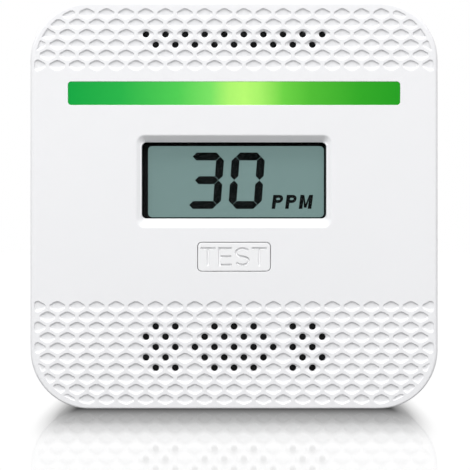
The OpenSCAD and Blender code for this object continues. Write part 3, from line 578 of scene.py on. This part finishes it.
class Shape:
    """Vertices and faces of one piece. A loop is a list of vertex numbers round an outline."""

    def __init__(self):
        self.verts = []
        self.faces = []

    def loop(self, points, depth):
        """Adds outline points at one depth, or at one depth each."""
        depths = depth if isinstance(depth, list) else [depth] * len(points)
        start = len(self.verts)
        for (x, z), d in zip(points, depths):
            self.verts.append((x, d, z))
        return list(range(start, len(self.verts)))

    def bridge(self, a, b):
        """Quads between two loops of the same length."""
        for i in range(len(a)):
            j = (i + 1) % len(a)
            self.faces.append((a[i], a[j], b[j], b[i]))

    def bridge_all(self, loops):
        for a, b in zip(loops, loops[1:]):
            self.bridge(a, b)

    def fan(self, loop, x, z, depth):
        """Closes a loop to one point."""
        self.verts.append((x, depth, z))
        centre = len(self.verts) - 1
        for i in range(len(loop)):
            self.faces.append((loop[i], loop[(i + 1) % len(loop)], centre))

    def fill(self, outer, holes=()):
        """Triangles on a flat stretch between an outer loop and the loops of its holes."""
        loops = [outer, *holes]
        numbers = [v for loop in loops for v in loop]
        flat = [Vector((self.verts[v][0], self.verts[v][2])) for v in numbers]
        owner = [i for i, loop in enumerate(loops) for _ in loop]
        edges = []
        start = 0
        for loop in loops:
            count = len(loop)
            edges += [(start + i, start + (i + 1) % count) for i in range(count)]
            start += count
        points, _, triangles, origin, _, _ = delaunay_2d_cdt(
            flat, edges, [], 1 if len(loops) == 1 else 0, 1e-7, True
        )
        depth = self.verts[outer[0]][1]
        names = []
        for i, point in enumerate(points):
            if origin[i]:
                names.append(numbers[origin[i][0]])
            else:
                self.verts.append((point.x, depth, point.y))
                names.append(len(self.verts) - 1)
        outlines = [[(self.verts[v][0], self.verts[v][2]) for v in loop] for loop in loops]
        for triangle in triangles:
            owners = {owner[origin[i][0]] if origin[i] else -1 for i in triangle}
            centre = sum((points[i] for i in triangle), Vector((0, 0))) / 3
            if len(owners) == 1:
                loop_number = owners.pop()
                inside = loop_number >= 0 and is_inside(centre, outlines[loop_number])
                if loop_number > 0 and inside or loop_number == 0 and not inside:
                    continue
            self.faces.append(tuple(names[i] for i in triangle))

    def prism(self, outline, near, far, holes=()):
        """Closed block between two depths, with straight holes."""
        fronts = []
        backs = []
        for points in (outline, *holes):
            front = self.loop(points, near)
            back = self.loop(points, far)
            self.bridge(front, back)
            fronts.append(front)
            backs.append(back)
        self.fill(fronts[0], fronts[1:])
        self.fill(backs[0], backs[1:])

    def build(self, name, body, material, smooth_angle=38.0):
        """Makes the Blender object, in metres."""
        mesh = bpy.data.meshes.new(name)
        verts = [(x * MM, (FRONT_Y + d) * MM, z * MM) for x, d, z in self.verts]
        mesh.from_pydata(verts, [], self.faces)
        work = bmesh.new()
        work.from_mesh(mesh)
        bmesh.ops.recalc_face_normals(work, faces=work.faces)
        work.to_mesh(mesh)
        work.free()
        mesh.shade_smooth()
        mesh.set_sharp_from_angle(angle=math.radians(smooth_angle))
        mesh.materials.append(material)
        piece = bpy.data.objects.new(name, mesh)
        bpy.context.scene.collection.objects.link(piece)
        weighted = piece.modifiers.new("even_shading", "WEIGHTED_NORMAL")
        weighted.keep_sharp = True
        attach(piece, body)
        return piece


def is_inside(point, outline):
    """True if a point lies inside a closed outline."""
    inside = False
    x, z = point
    for (x0, z0), (x1, z1) in zip(outline, outline[1:] + outline[:1]):
        if (z0 > z) != (z1 > z) and x < x0 + (z - z0) / (z1 - z0) * (x1 - x0):
            inside = not inside
    return inside


def rounded_rect(w, h, r, x=0.0, z=0.0, steps=8):
    """Points round a rectangle with round corners, anticlockwise."""
    points = []
    for quarter, (sx, sz) in enumerate(((1, 1), (-1, 1), (-1, -1), (1, -1))):
        for i in range(steps + 1):
            angle = math.radians(90 * (quarter + i / steps))
            points.append((
                x + sx * (w / 2 - r) + r * math.cos(angle),
                z + sz * (h / 2 - r) + r * math.sin(angle),
            ))
    return points


def circle(x, z, r, steps=24):
    """Points of a circle."""
    return [
        (x + r * math.cos(2 * math.pi * i / steps), z + r * math.sin(2 * math.pi * i / steps))
        for i in range(steps)
    ]


def body_outline(inset, steps=20):
    """Outline of the body from the front, set in by a distance."""
    return rounded_rect(
        BODY_W - 2 * inset, BODY_H - 2 * inset, CORNER_R - inset, 0, BODY_H / 2, steps
    )


def border_distance(x, z):
    """How far a point lies inside the border of the texture."""
    qx = abs(x) - (BODY_W / 2 - BORDER_IN - BORDER_R)
    qz = abs(z - BODY_H / 2) - (BODY_H / 2 - BORDER_IN - BORDER_R)
    outside = math.hypot(max(qx, 0), max(qz, 0)) + min(max(qx, qz), 0)
    return BORDER_R - outside


def quarter_round(radius, steps):
    """(inset, depth) steps from the flat front over a rounded edge to the side."""
    return [
        (
            radius * (1 - math.sin(math.radians(90 * i / steps))),
            radius * (1 - math.cos(math.radians(90 * i / steps))),
        )
        for i in range(steps + 1)
    ]


# ---------- Texture cells ----------

def cell_polygon(x, z):
    """Squashed hexagon of one cell, anticlockwise."""
    slope = CELL_PEAK / (CELL_PITCH / 2)
    half_w = (CELL_PITCH - RIDGE) / 2
    tip = (ROW_PITCH + CELL_PEAK) / 2 - RIDGE / 2 * math.hypot(1, slope)
    shoulder = tip - slope * half_w
    return [
        (x + half_w, z - shoulder), (x + half_w, z + shoulder), (x, z + tip),
        (x - half_w, z + shoulder), (x - half_w, z - shoulder), (x, z - tip),
    ]


def clip_polygon(polygon, fence):
    """The part of a polygon inside a convex fence, both anticlockwise."""
    for (x0, z0), (x1, z1) in zip(fence, fence[1:] + fence[:1]):
        def side(point):
            return (x1 - x0) * (point[1] - z0) - (z1 - z0) * (point[0] - x0)
        kept = []
        for a, b in zip(polygon, polygon[1:] + polygon[:1]):
            sa, sb = side(a), side(b)
            if sa >= 0:
                kept.append(a)
            if sa * sb < 0:
                t = sa / (sa - sb)
                kept.append((a[0] + t * (b[0] - a[0]), a[1] + t * (b[1] - a[1])))
        polygon = kept
        if len(polygon) < 3:
            return []
    return polygon


def drop_short_sides(polygon, least):
    kept = []
    for point in polygon:
        if not kept or math.dist(point, kept[-1]) > least:
            kept.append(point)
    if len(kept) > 2 and math.dist(kept[0], kept[-1]) <= least:
        kept.pop()
    return kept


def area_of(polygon):
    return 0.5 * sum(a[0] * b[1] - b[0] * a[1] for a, b in zip(polygon, polygon[1:] + polygon[:1]))


def round_corners(polygon, radius, steps):
    """Points with their outward normals, along a convex polygon whose corners are rounded."""
    result = []
    count = len(polygon)
    for i, v in enumerate(polygon):
        p = Vector(polygon[i - 1])
        n = Vector(polygon[(i + 1) % count])
        v = Vector(v)
        before = (v - p).normalized()
        after = (n - v).normalized()
        turn = math.atan2(before.cross(after), before.dot(after))
        if turn < 1e-3:
            continue
        reach = min(radius * math.tan(turn / 2), 0.47 * min((v - p).length, (n - v).length))
        r = reach / math.tan(turn / 2)
        centre = v - before * reach + Vector((-before.y, before.x)) * r
        start = math.atan2(-before.x, before.y)
        for k in range(steps + 1):
            angle = start + turn * k / steps
            normal = Vector((math.cos(angle), math.sin(angle)))
            result.append((centre + normal * r, normal))
    return result


# How far the rounded lip of a cell reaches past its edge: above, beside and below it
LIP_TOP = 0.07
LIP_SIDE = 0.13
LIP_LOW = 0.36
EDGE_DROP = 0.04
LIP_DROP = 0.25
# Shares of a cell's size, with the depth there on its steep upper and on its gentle lower side
BOWL = [(0.94, 0.25, 0.385), (0.80, 0.335, 0.43), (0.58, 0.415, 0.465), (0.30, 0.47, 0.484)]
BOWL_DEPTH = 0.49
# The lowest point of a bowl lies this far below its middle
BOWL_SAG = 0.4


def lip_reach(point, normal):
    """Reach of the lip along a normal, cut short at the border of the texture."""
    if normal.y > 0:
        reach = LIP_SIDE + (LIP_TOP - LIP_SIDE) * normal.y
    else:
        reach = LIP_SIDE + (LIP_LOW - LIP_SIDE) * -normal.y
    low, high = 0.0, reach
    if border_distance(*(point + normal * reach)) < 0:
        for _ in range(12):
            middle = (low + high) / 2
            if border_distance(*(point + normal * middle)) < 0:
                high = middle
            else:
                low = middle
        reach = low
    return reach


def at_even_angles(edge, centre, count):
    """The same edge again, with its points at even angles round the centre."""
    result = []
    for i in range(count):
        angle = 2 * math.pi * i / count
        ray = Vector((math.cos(angle), math.sin(angle)))
        for (p, n), (q, m) in zip(edge, edge[1:] + edge[:1]):
            before = ray.cross(p - centre)
            after = ray.cross(q - centre)
            if before <= 0 < after and ray.dot(p + q - 2 * centre) > 0:
                share = before / (before - after)
                result.append((p.lerp(q, share), n.lerp(m, share).normalized()))
                break
    return result


def add_cell(shape, x, z, fence, vented):
    """One dimple. Returns its outer loop on the face, and its vent's loop on the back."""
    polygon = cell_polygon(x, z)
    if min(border_distance(*corner) for corner in polygon) < CELL_MARGIN:
        polygon = drop_short_sides(clip_polygon(polygon, fence), 0.12)
    if len(polygon) < 3 or area_of(polygon) < 0.55:
        return None, None
    edge = round_corners(polygon, 1.2, 3)
    if vented:
        edge = at_even_angles(edge, Vector((x, z)), 32)
    xs = [p.x for p, _ in edge]
    zs = [p.y for p, _ in edge]
    size = min(1.0, (max(xs) - min(xs)) / 3.0, (max(zs) - min(zs)) / 2.3)
    reaches = [lip_reach(p, n) for p, n in edge]
    steep = [min(1.0, 0.8 + 0.8 * n.y) for _, n in edge]
    edge_depths = [EDGE_DROP + LIP_DROP * reach / LIP_LOW * size for reach in reaches]
    outer = shape.loop([tuple(p + n * (r + 0.03)) for (p, n), r in zip(edge, reaches)], 0.0)
    start = shape.loop([tuple(p + n * r) for (p, n), r in zip(edge, reaches)], 0.0)
    middle = shape.loop(
        [tuple(p + n * r * 0.5) for (p, n), r in zip(edge, reaches)],
        [d * 0.25 for d in edge_depths],
    )
    rim = shape.loop([tuple(p) for p, _ in edge], edge_depths)
    centre = sum((p for p, _ in edge), Vector((0, 0))) / len(edge)
    if not vented:
        centre.y -= BOWL_SAG * (max(zs) - min(zs)) / 2.53
    loops = [outer, start, middle, rim]

    def mixed(steep_depth, gentle_depth):
        return [
            edge_depth + (size * (gentle_depth + (steep_depth - gentle_depth) * s) - edge_depth)
            for s, edge_depth in zip(steep, edge_depths)
        ]

    for share, steep_depth, gentle_depth in BOWL[:2] if vented else BOWL:
        points = [tuple(centre + (p - centre) * share) for p, _ in edge]
        loops.append(shape.loop(points, mixed(steep_depth, gentle_depth)))
    if not vented:
        shape.bridge_all(loops)
        shape.fan(loops[-1], centre.x, centre.y, BOWL_DEPTH * size)
        return outer, None
    for radius, depth in (
        (VENT_R + 0.06, 0.53),
        (VENT_R + 0.015, 0.56),
        (VENT_R, 0.62),
        (VENT_R, FACE_T),
    ):
        loops.append(shape.loop(circle(x, z, radius, len(edge)), depth))
    shape.bridge_all(loops)
    return outer, loops[-1]


def has_vent(field, row, column):
    """Vents: two rows at the top and five at the bottom. A slanted column is left out there
    on each side, except in the middle row."""
    if abs(column) > 4.5:
        return False
    if field == "top":
        return row in (2, 3)
    step = row - LOW_VENT_ROW
    return abs(step) <= 2 and (step == 0 or not 1.75 < abs(column) < 2.75)


def add_texture(shape):
    """All cells of both fields."""
    inset = BORDER_IN + CELL_MARGIN
    fence = rounded_rect(
        BODY_W - 2 * inset, BODY_H - 2 * inset, BORDER_R - CELL_MARGIN, 0, BODY_H / 2, 12
    )
    outers = []
    backs = []
    half = math.ceil(BODY_W / 2 / CELL_PITCH)
    rows = [("top", row, TOP_ROW_Z - row * ROW_PITCH) for row in range(TOP_ROWS)]
    rows += [("low", row, LOW_ROW_Z + row * ROW_PITCH) for row in range(LOW_ROWS)]
    for field, row, z in rows:
        shift = 0.5 if row % 2 == 0 else 0.0
        for i in range(-half, half + 1):
            column = i + shift
            outer, back = add_cell(shape, column * CELL_PITCH, z, fence, has_vent(field, row, column))
            if outer:
                outers.append(outer)
            if back:
                backs.append(back)
    return outers, backs


# ---------- Front cover ----------

def add_opening(shape, w, h, r, z, edge, steps=6):
    """Straight opening with a rounded front edge. Returns its front and its back loop."""
    loops = []
    for inset, depth in quarter_round(edge, 4):
        grow = 2 * inset
        loops.append(shape.loop(rounded_rect(w + grow, h + grow, r + inset, 0, z, steps), depth))
    loops.append(shape.loop(rounded_rect(w, h, r, 0, z, steps), FACE_T))
    shape.bridge_all(loops)
    return loops[0], loops[-1]


def add_display_recess(shape):
    """Rounded rim, sloping bevel, narrow ledge and straight wall of the display opening.

    The bevel slopes less at the sides than along the top and the bottom.
    """
    rim = 0.3
    foot = 0.1
    steps = 8
    outer_w = WINDOW_W + 2 * BEVEL_SIDE
    outer_h = WINDOW_H + BEVEL_TOP + BEVEL_LOW
    outer_z = WINDOW_Z + (BEVEL_TOP - BEVEL_LOW) / 2
    outer_r = 1.9
    window_r = 1.1
    loops = []

    def outline(share, grow):
        """Outline on the way from the outer edge, share 0, to the window, share 1."""
        w = outer_w + (WINDOW_W - outer_w) * share + 2 * grow
        h = outer_h + (WINDOW_H - outer_h) * share + 2 * grow
        z = outer_z + (WINDOW_Z - outer_z) * share
        r = outer_r + (window_r - outer_r) * share + grow
        return rounded_rect(w, h, r, 0, z, steps)

    def add(share, depth, side_share, side_d, grow=0.0):
        """Loop with one share and depth above and below, and others at the sides."""
        turns = [math.cos(math.radians(90 * i / steps)) ** 2 for i in range(steps + 1)]
        turns = (turns + turns[::-1]) * 2
        points = [
            (a[0] + (b[0] - a[0]) * t, a[1] + (b[1] - a[1]) * t)
            for a, b, t in zip(outline(share, grow), outline(side_share, grow), turns)
        ]
        loops.append(shape.loop(points, [depth + (side_d - depth) * t for t in turns]))

    side_depth = 0.5
    add(0.0, 0.0, 0.0, 0.0, rim)
    add(0.0, 0.02, 0.0, 0.01, rim * 0.45)
    add(0.02, 0.075, 0.02, 0.035)
    add(0.12, BEVEL_D * 0.16, 0.12, side_depth * 0.16)
    add(0.5, BEVEL_D * 0.53, 0.46, side_depth * 0.6)
    add(0.76, BEVEL_D * 0.79, 0.68, side_depth * 0.93)
    add(0.90, BEVEL_D * 0.93, 0.76, side_depth)
    add(0.975, BEVEL_D, 0.98, side_depth)
    add(1.0, BEVEL_D + foot, 1.0, side_depth + foot)
    loops.append(shape.loop(rounded_rect(WINDOW_W, WINDOW_H, window_r, 0, WINDOW_Z, steps), FACE_T))
    shape.bridge_all(loops)
    return loops[0], loops[-1]


def add_post(shape, x, z, near, far, r, bore, bore_from):
    """Screw post behind the face, with its pilot hole."""
    outer = [shape.loop(circle(x, z, r), depth) for depth in (near, far)]
    inner = [shape.loop(circle(x, z, bore), depth) for depth in (bore_from, far)]
    shape.bridge_all(outer)
    shape.bridge_all(inner)
    shape.fill(outer[0])
    shape.fill(inner[0])
    shape.bridge(outer[1], inner[1])


def add_front_edge(shape):
    """Loops over the rounded front edge, which is tighter along the foot."""
    rim = body_outline(0.0)
    inner = body_outline(1.0)
    loops = []
    for inset, depth in quarter_round(1.0, 7):
        points = []
        depths = []
        for (x0, z0), (x1, z1) in zip(rim, inner):
            downward = max(0.0, z1 - z0)
            radius = EDGE_R + (FOOT_EDGE_R - EDGE_R) * downward
            points.append((x0 + (x1 - x0) * inset * radius, z0 + (z1 - z0) * inset * radius))
            depths.append(depth * radius)
        loops.append(shape.loop(points, depths))
    return loops


def make_front_cover(materials):
    """Front cover: texture, vents, openings and rounded edges."""
    shape = Shape()
    cells, vents = add_texture(shape)
    openings = [
        add_display_recess(shape),
        add_opening(shape, BAR_W + 0.3, BAR_H + 0.3, BAR_R + 0.15, BAR_Z, 0.1),
        add_opening(
            shape, BUTTON_W + 2 * BUTTON_GAP, BUTTON_H + 2 * BUTTON_GAP,
            BUTTON_R + BUTTON_GAP, BUTTON_Z, 0.12,
        ),
    ]
    sides = add_front_edge(shape)
    for inset, depth in (
        (0.0, SPLIT_D - 0.3),
        (0.1, SPLIT_D - 0.08),
        (0.3, SPLIT_D),
        (WALL, SPLIT_D),
    ):
        sides.append(shape.loop(body_outline(inset), depth))
    sides.append(shape.loop(body_outline(WALL), FACE_T))
    shape.bridge_all(sides)
    shape.fill(sides[0], [front for front, _ in openings] + cells)
    shape.fill(sides[-1], [back for _, back in openings] + vents)
    for side in (-1, 1):
        for z in (12, BODY_H - 12):
            add_post(shape, side * (BODY_W / 2 - 10), z, FACE_T, 19.5, 3.5, 1.32, 9.0)
        for z in (34, BODY_H - 32):
            add_post(shape, side * 38.5, z, FACE_T, 11.0, 2.75, 1.22, 6.1)
    piece = shape.build("front_shell", "housing", materials["housing_plastic"])
    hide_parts("front_cover")


# ---------- Light bar ----------

def make_light_bar(materials):
    """Flush diffuser with a rounded front edge and the flange that holds it behind the face."""
    shape = Shape()
    edge = 0.14
    loops = [
        shape.loop(rounded_rect(BAR_W - 2 * inset, BAR_H - 2 * inset, BAR_R - inset, 0, BAR_Z), depth)
        for inset, depth in quarter_round(edge, 3)
    ]
    loops.append(shape.loop(rounded_rect(BAR_W, BAR_H, BAR_R, 0, BAR_Z), FACE_T))
    w = BAR_W + 2 * BAR_FLANGE
    h = BAR_H + 2 * BAR_FLANGE
    loops.append(shape.loop(rounded_rect(w, h, 1.0, 0, BAR_Z), FACE_T))
    loops.append(shape.loop(rounded_rect(w, h, 1.0, 0, BAR_Z), BAR_HIGH.y))
    shape.bridge_all(loops)
    shape.fill(loops[0])
    shape.fill(loops[-1])
    piece = shape.build("lit_bar", "housing", materials["light_pipe"])
    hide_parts("light_bar")


# ---------- Test button ----------

LETTER_H = 4.4
LETTER_STROKE = 0.6


def letter_t(x, w):
    """Outline of a T, anticlockwise, its foot at height 0."""
    m = x + w / 2
    s = LETTER_STROKE
    h = LETTER_H
    return [(m - s / 2, 0), (m + s / 2, 0), (m + s / 2, h - s), (x + w, h - s), (x + w, h),
            (x, h), (x, h - s), (m - s / 2, h - s)]


def letter_e(x, w):
    s = LETTER_STROKE
    h = LETTER_H
    low = (h - s) / 2
    return [(x, 0), (x + w, 0), (x + w, s), (x + s, s), (x + s, low), (x + w * 0.95, low),
            (x + w * 0.95, low + s), (x + s, low + s), (x + s, h - s), (x + w, h - s), (x + w, h),
            (x, h)]


def letter_s(x, w):
    """S as one stroke of even width along two arcs and the slant between them."""
    s = LETTER_STROKE
    h = LETTER_H
    rx = (w - s) / 2
    rz = (h - s) / 4
    m = x + w / 2
    path = []
    for i in range(11):
        angle = math.radians(25 + i * 21.5)
        path.append(Vector((m + rx * math.cos(angle), h - s / 2 - rz + rz * math.sin(angle))))
    for i in range(11):
        angle = math.radians(60 - i * 21.5)
        path.append(Vector((m + rx * math.cos(angle), s / 2 + rz + rz * math.sin(angle))))
    return thick_line(path, s)


def thick_line(path, width):
    """Outline round a line of points, anticlockwise."""
    left = []
    right = []
    for i, point in enumerate(path):
        ahead = (path[min(i + 1, len(path) - 1)] - path[max(i - 1, 0)]).normalized()
        out = Vector((-ahead.y, ahead.x)) * width / 2
        left.append(tuple(point + out))
        right.append(tuple(point - out))
    return right + left[::-1]


def moved_in(outline, amount):
    """Outline moved inwards along its corners, for small amounts."""
    result = []
    count = len(outline)
    for i in range(count):
        p = Vector(outline[i - 1])
        v = Vector(outline[i])
        n = Vector(outline[(i + 1) % count])
        before = (v - p).normalized()
        after = (n - v).normalized()
        in_before = Vector((-before.y, before.x))
        in_after = Vector((-after.y, after.x))
        bisector = in_before + in_after
        bisector = bisector / max(0.25, bisector.length_squared) * 2
        result.append(tuple(v + bisector * amount))
    return result


def add_groove(shape, outline, depth):
    """Engraved letter. Returns its loop on the face."""
    loops = [shape.loop(outline, 0.0)]
    for inward, share in ((0.03, 0.12), (0.08, 0.8), (0.12, 1.0)):
        loops.append(shape.loop(moved_in(outline, inward), depth * share))
    shape.bridge_all(loops)
    shape.fill(loops[-1])
    return loops[0]


def make_test_button(materials):
    """Cap with a rounded edge and the engraved word, its retaining flange and its post."""
    shape = Shape()
    edge = 0.15
    foot_z = BUTTON_Z - LETTER_H / 2 + 0.07
    loops = [
        shape.loop(
            rounded_rect(BUTTON_W - 2 * inset, BUTTON_H - 2 * inset, BUTTON_R - inset, 0, BUTTON_Z),
            depth,
        )
        for inset, depth in quarter_round(edge, 4)
    ]
    flange_d = FACE_T + 0.2
    back_d = flange_d + 1.2
    w = BUTTON_W + 2 * BUTTON_FLANGE
    h = BUTTON_H + 2 * BUTTON_FLANGE
    loops.append(shape.loop(rounded_rect(BUTTON_W, BUTTON_H, BUTTON_R, 0, BUTTON_Z), flange_d))
    loops.append(shape.loop(rounded_rect(w, h, 1.0, 0, BUTTON_Z), flange_d))
    loops.append(shape.loop(rounded_rect(w, h, 1.0, 0, BUTTON_Z), back_d))
    shape.bridge_all(loops)
    outlines = [letter_t(-7.75, 3.55), letter_e(-3.65, 3.17), letter_s(0.16, 3.5), letter_t(4.08, 3.5)]
    grooves = [add_groove(shape, [(x, z + foot_z) for x, z in outline], 0.42) for outline in outlines]
    shape.fill(loops[0], grooves)
    post = [shape.loop(circle(0, BUTTON_Z, 2.0), depth) for depth in (back_d, BUTTON_HIGH.y - 0.2)]
    post.append(shape.loop(circle(0, BUTTON_Z, 1.8), BUTTON_HIGH.y))
    shape.bridge_all(post)
    shape.fill(post[-1])
    shape.fill(loops[-1], [post[0]])
    piece = shape.build("test_key", "button", materials["button_plastic"])
    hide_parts("test_button")


# ---------- Display ----------

DIGIT_LEAN = 0.073
DIGIT_W = 5.9
DIGIT_HALF = 5.66
DIGIT_STROKE = 1.84
# How far the middle bar lies above the middle of a digit
DIGIT_RISE = 0.12
DIGIT_GAP = 0.05


def level_bar(left, right, z):
    """Level bar with pointed ends."""
    s = DIGIT_STROKE / 2
    g = DIGIT_GAP
    return [(left + g, z), (left + g + s, z - s), (right - g - s, z - s), (right - g, z),
            (right - g - s, z + s), (left + g + s, z + s)]


def upright_bar(x, low, high):
    s = DIGIT_STROKE / 2
    g = DIGIT_GAP
    return [(x, low + g), (x + s, low + g + s), (x + s, high - g - s), (x, high - g),
            (x - s, high - g - s), (x - s, low + g + s)]


def digit_bars(lit, long_end):
    """Outlines of the lit bars of one digit, before it leans."""
    w = DIGIT_W / 2
    h = DIGIT_HALF
    bars = {
        "top": level_bar(-w - long_end, w, h),
        "middle": level_bar(-w + long_end / 2, w, DIGIT_RISE),
        "bottom": level_bar(-w - long_end, w, -h),
        "upper_left": upright_bar(-w, DIGIT_RISE, h),
        "upper_right": upright_bar(w, DIGIT_RISE, h),
        "lower_left": upright_bar(-w, -h, DIGIT_RISE),
        "lower_right": upright_bar(w, -h, DIGIT_RISE),
    }
    return [bars[name] for name in lit]


def lean(outline, x, z, amount):
    return [(x + px + pz * amount, z + pz) for px, pz in outline]


def letter_p(w, h, s):
    """Bold P: outer outline and its counter."""
    bowl = h * 0.58
    r = bowl / 2
    mid = h - r
    arc = [math.radians(-90 + 180 * i / 10) for i in range(11)]
    outer = [(0, 0), (s, 0), (s, h - bowl)]
    outer += [(w - r + r * math.cos(a), mid + r * math.sin(a)) for a in arc]
    outer += [(0, h)]
    ri = r - s * 0.82
    inner = [(s, mid - ri)]
    inner = inner + [(w - r + ri * math.cos(a), mid + ri * math.sin(a)) for a in arc]
    inner = inner + [(s, mid + ri)]
    return outer, inner


def letter_m(w, h, s):
    """Bold M, anticlockwise from its left foot."""
    c = w / 2
    return [(0, 0), (s, 0), (s, h * 0.62), (c - s * 0.35, h * 0.08), (c + s * 0.35, h * 0.08),
            (w - s, h * 0.62), (w - s, 0), (w, 0), (w, h), (w - s * 1.05, h), (c, h * 0.36), (s * 1.05, h), (0, h)]


def make_display_ink(materials):
    """The reading and its unit, as thin dark solids between the glasses."""
    shape = Shape()
    low, high = node_box("lcd_segments")
    near, far = low.y + 0.02, high.y - 0.02
    three = ("top", "middle", "bottom", "upper_right", "lower_right")
    nought = ("top", "bottom", "upper_left", "upper_right", "lower_left", "lower_right")
    middle = WINDOW_Z + 0.05
    for x, lit, long_end in ((-6.57, three, 0.62), (2.96, nought, 0.0)):
        for bar in digit_bars(lit, long_end):
            shape.prism(lean(bar, x, middle, DIGIT_LEAN), near, far)
    foot = middle - DIGIT_HALF - DIGIT_STROKE / 2 + 0.02
    unit_h = 3.25
    unit_s = 0.85
    unit_lean = 0.13
    for x in (8.75, 11.9):
        outer, inner = letter_p(2.4, unit_h, unit_s)
        shape.prism(lean(outer, x, foot, unit_lean), near, far, [lean(inner, x, foot, unit_lean)])
    shape.prism(lean(letter_m(2.95, unit_h, unit_s), 15.1, foot, unit_lean), near, far)
    piece = shape.build("display_reading", "housing", materials["lcd_ink"])
    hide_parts("lcd_segments")


def make_display_frame(materials):
    """Black print behind the window, its opening rounded. The band is wider at the left and the top than at the
    right and the foot: there it is a dark sheet standing for the shadow of the window's rim, painted shadow.
    """
    shape = Shape()
    low, high = node_box("display_mask")
    # The wider left and top bands are painted shadow; the thin right and foot bands are the print itself.
    left, right, top, foot = 1.32, 0.43, 0.78, 0.32
    outer = rounded_rect(high.x - low.x, high.z - low.z, 0.5, 0, WINDOW_Z)
    hole = rounded_rect(
        WINDOW_W - left - right, WINDOW_H - top - foot, 0.95,
        (left - right) / 2, WINDOW_Z + (foot - top) / 2,
    )
    shape.prism(outer, low.y, high.y, [hole])
    piece = shape.build("window_print", "housing", materials["black_print"])
    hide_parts("display_mask")


# ---------- CAD pieces that keep their shape ----------

def soften(piece, width, segments=2):
    """Rounds the sharp edges of a CAD piece a little."""
    weld = piece.modifiers.new("weld", "WELD")
    weld.merge_threshold = 0.002 * MM
    flat = piece.modifiers.new("whole_flats", "DECIMATE")
    flat.decimate_type = "DISSOLVE"
    flat.angle_limit = math.radians(0.5)
    bevel = piece.modifiers.new("soft_edges", "BEVEL")
    bevel.width = width * MM
    bevel.segments = segments
    bevel.limit_method = "ANGLE"
    bevel.angle_limit = math.radians(40)
    bevel.use_clamp_overlap = True
    weighted = piece.modifiers.new("even_shading", "WEIGHTED_NORMAL")
    weighted.keep_sharp = True


def finish_cad_pieces(materials):
    """Gives the CAD pieces their finishes and soft edges."""
    slots = {item["node"]: item["material_slot"] for item in frame["record"]["subparts"]}
    edges = {
        "rear_cover": 0.25,
        "battery_door": 0.25,
        "wall_bracket": 0.3,
        "housing_screws": 0.12,
        "battery_1": 0.35,
        "battery_2": 0.35,
        "battery_3": 0.35,
    }
    for name, piece in NODES.items():
        material = materials[slots[name]]
        if name == "lcd_rear_glass":
            material = materials["lcd_back"]
        piece.data.materials.clear()
        piece.data.materials.append(material)
        piece.data.shade_smooth()
        piece.data.set_sharp_from_angle(angle=math.radians(35))
        if name in edges:
            soften(piece, edges[name])


# ---------- Stage ----------

def make_floor():
    """White glossy floor with a painted contact shadow, darkened softly where the detector stands on it."""
    material = bpy.data.materials.new("studio_floor")
    material.use_nodes = True
    tree = material.node_tree
    tree.nodes.clear()
    output = tree.nodes.new("ShaderNodeOutputMaterial")
    split = tree.nodes.new("ShaderNodeSeparateXYZ")
    tree.links.new(place_in_mm(tree), split.inputs[0])
    # Distance from the detector's foot, which sets the painted contact shadow; the part beside it counts eight
    # times.
    beside = add_math(tree, "ABSOLUTE", split.outputs["X"])
    beside = add_math(tree, "SUBTRACT", beside, BODY_W / 2 - CORNER_R + 2.8)
    beside = add_math(tree, "MULTIPLY", add_math(tree, "MAXIMUM", beside, 0.0), 8.0)
    before = add_math(tree, "ABSOLUTE", split.outputs["Y"])
    before = add_math(tree, "SUBTRACT", before, -FRONT_Y)
    before = add_math(tree, "MAXIMUM", before, 0.0)
    painted_shadow_distance = add_math(
        tree,
        "SQRT",
        add_math(tree, "ADD", add_math(tree, "POWER", beside, 2.0), add_math(tree, "POWER", before, 2.0)),
    )
    # Painted contact shadow: floor brightness by that distance, darkest at the foot and full white at 64 mm.
    reach = 64.0
    painted_shadow_levels = [
        (0, 0.09), (2, 0.13), (10, 0.30), (16, 0.40), (27, 0.53),
        (35, 0.70), (45, 0.85), (55, 0.96), (64, 1),
    ]
    shade = add_ramp(tree, add_math(tree, "DIVIDE", painted_shadow_distance, reach), [(at / reach, (v, v, v)) for at, v in painted_shadow_levels])

    def with_painted_shadow(share):
        node = tree.nodes.new("ShaderNodeVectorMath")
        node.operation = "SCALE"
        node.inputs["Scale"].default_value = share
        tree.links.new(shade, node.inputs[0])
        return node.outputs["Vector"]

    # For the camera the floor glows white and shows a faint reflection, both darkened by the painted shadow; other
    # rays meet a plain grey floor.
    gloss_share = 0.2
    white = tree.nodes.new("ShaderNodeEmission")
    tree.links.new(with_painted_shadow(1.02 - gloss_share), white.inputs["Color"])
    gloss = tree.nodes.new("ShaderNodeBsdfGlossy")
    gloss.inputs["Roughness"].default_value = 0.05
    tree.links.new(with_painted_shadow(gloss_share), gloss.inputs["Color"])
    both = tree.nodes.new("ShaderNodeAddShader")
    tree.links.new(white.outputs[0], both.inputs[0])
    tree.links.new(gloss.outputs[0], both.inputs[1])
    matt = tree.nodes.new("ShaderNodeBsdfDiffuse")
    matt.inputs["Color"].default_value = (0.3, 0.3, 0.3, 1)
    path = tree.nodes.new("ShaderNodeLightPath")
    mix = tree.nodes.new("ShaderNodeMixShader")
    tree.links.new(path.outputs["Is Camera Ray"], mix.inputs[0])
    tree.links.new(matt.outputs[0], mix.inputs[1])
    tree.links.new(both.outputs[0], mix.inputs[2])
    tree.links.new(mix.outputs[0], output.inputs["Surface"])
    mesh = bpy.data.meshes.new("floor")
    work = bmesh.new()
    bmesh.ops.create_grid(work, x_segments=1, y_segments=1, size=3.0)
    work.to_mesh(mesh)
    work.free()
    mesh.materials.append(material)
    floor = bpy.data.objects.new("floor", mesh)
    bpy.context.scene.collection.objects.link(floor)


def main():
    """Builds the whole scene."""
    bpy.context.scene.view_settings.view_transform = "Standard"
    make_camera()
    make_lights()
    make_world()
    make_floor()
    materials = make_materials()
    finish_cad_pieces(materials)
    make_front_cover(materials)
    make_light_bar(materials)
    make_test_button(materials)
    make_display_ink(materials)
    make_display_frame(materials)


main()
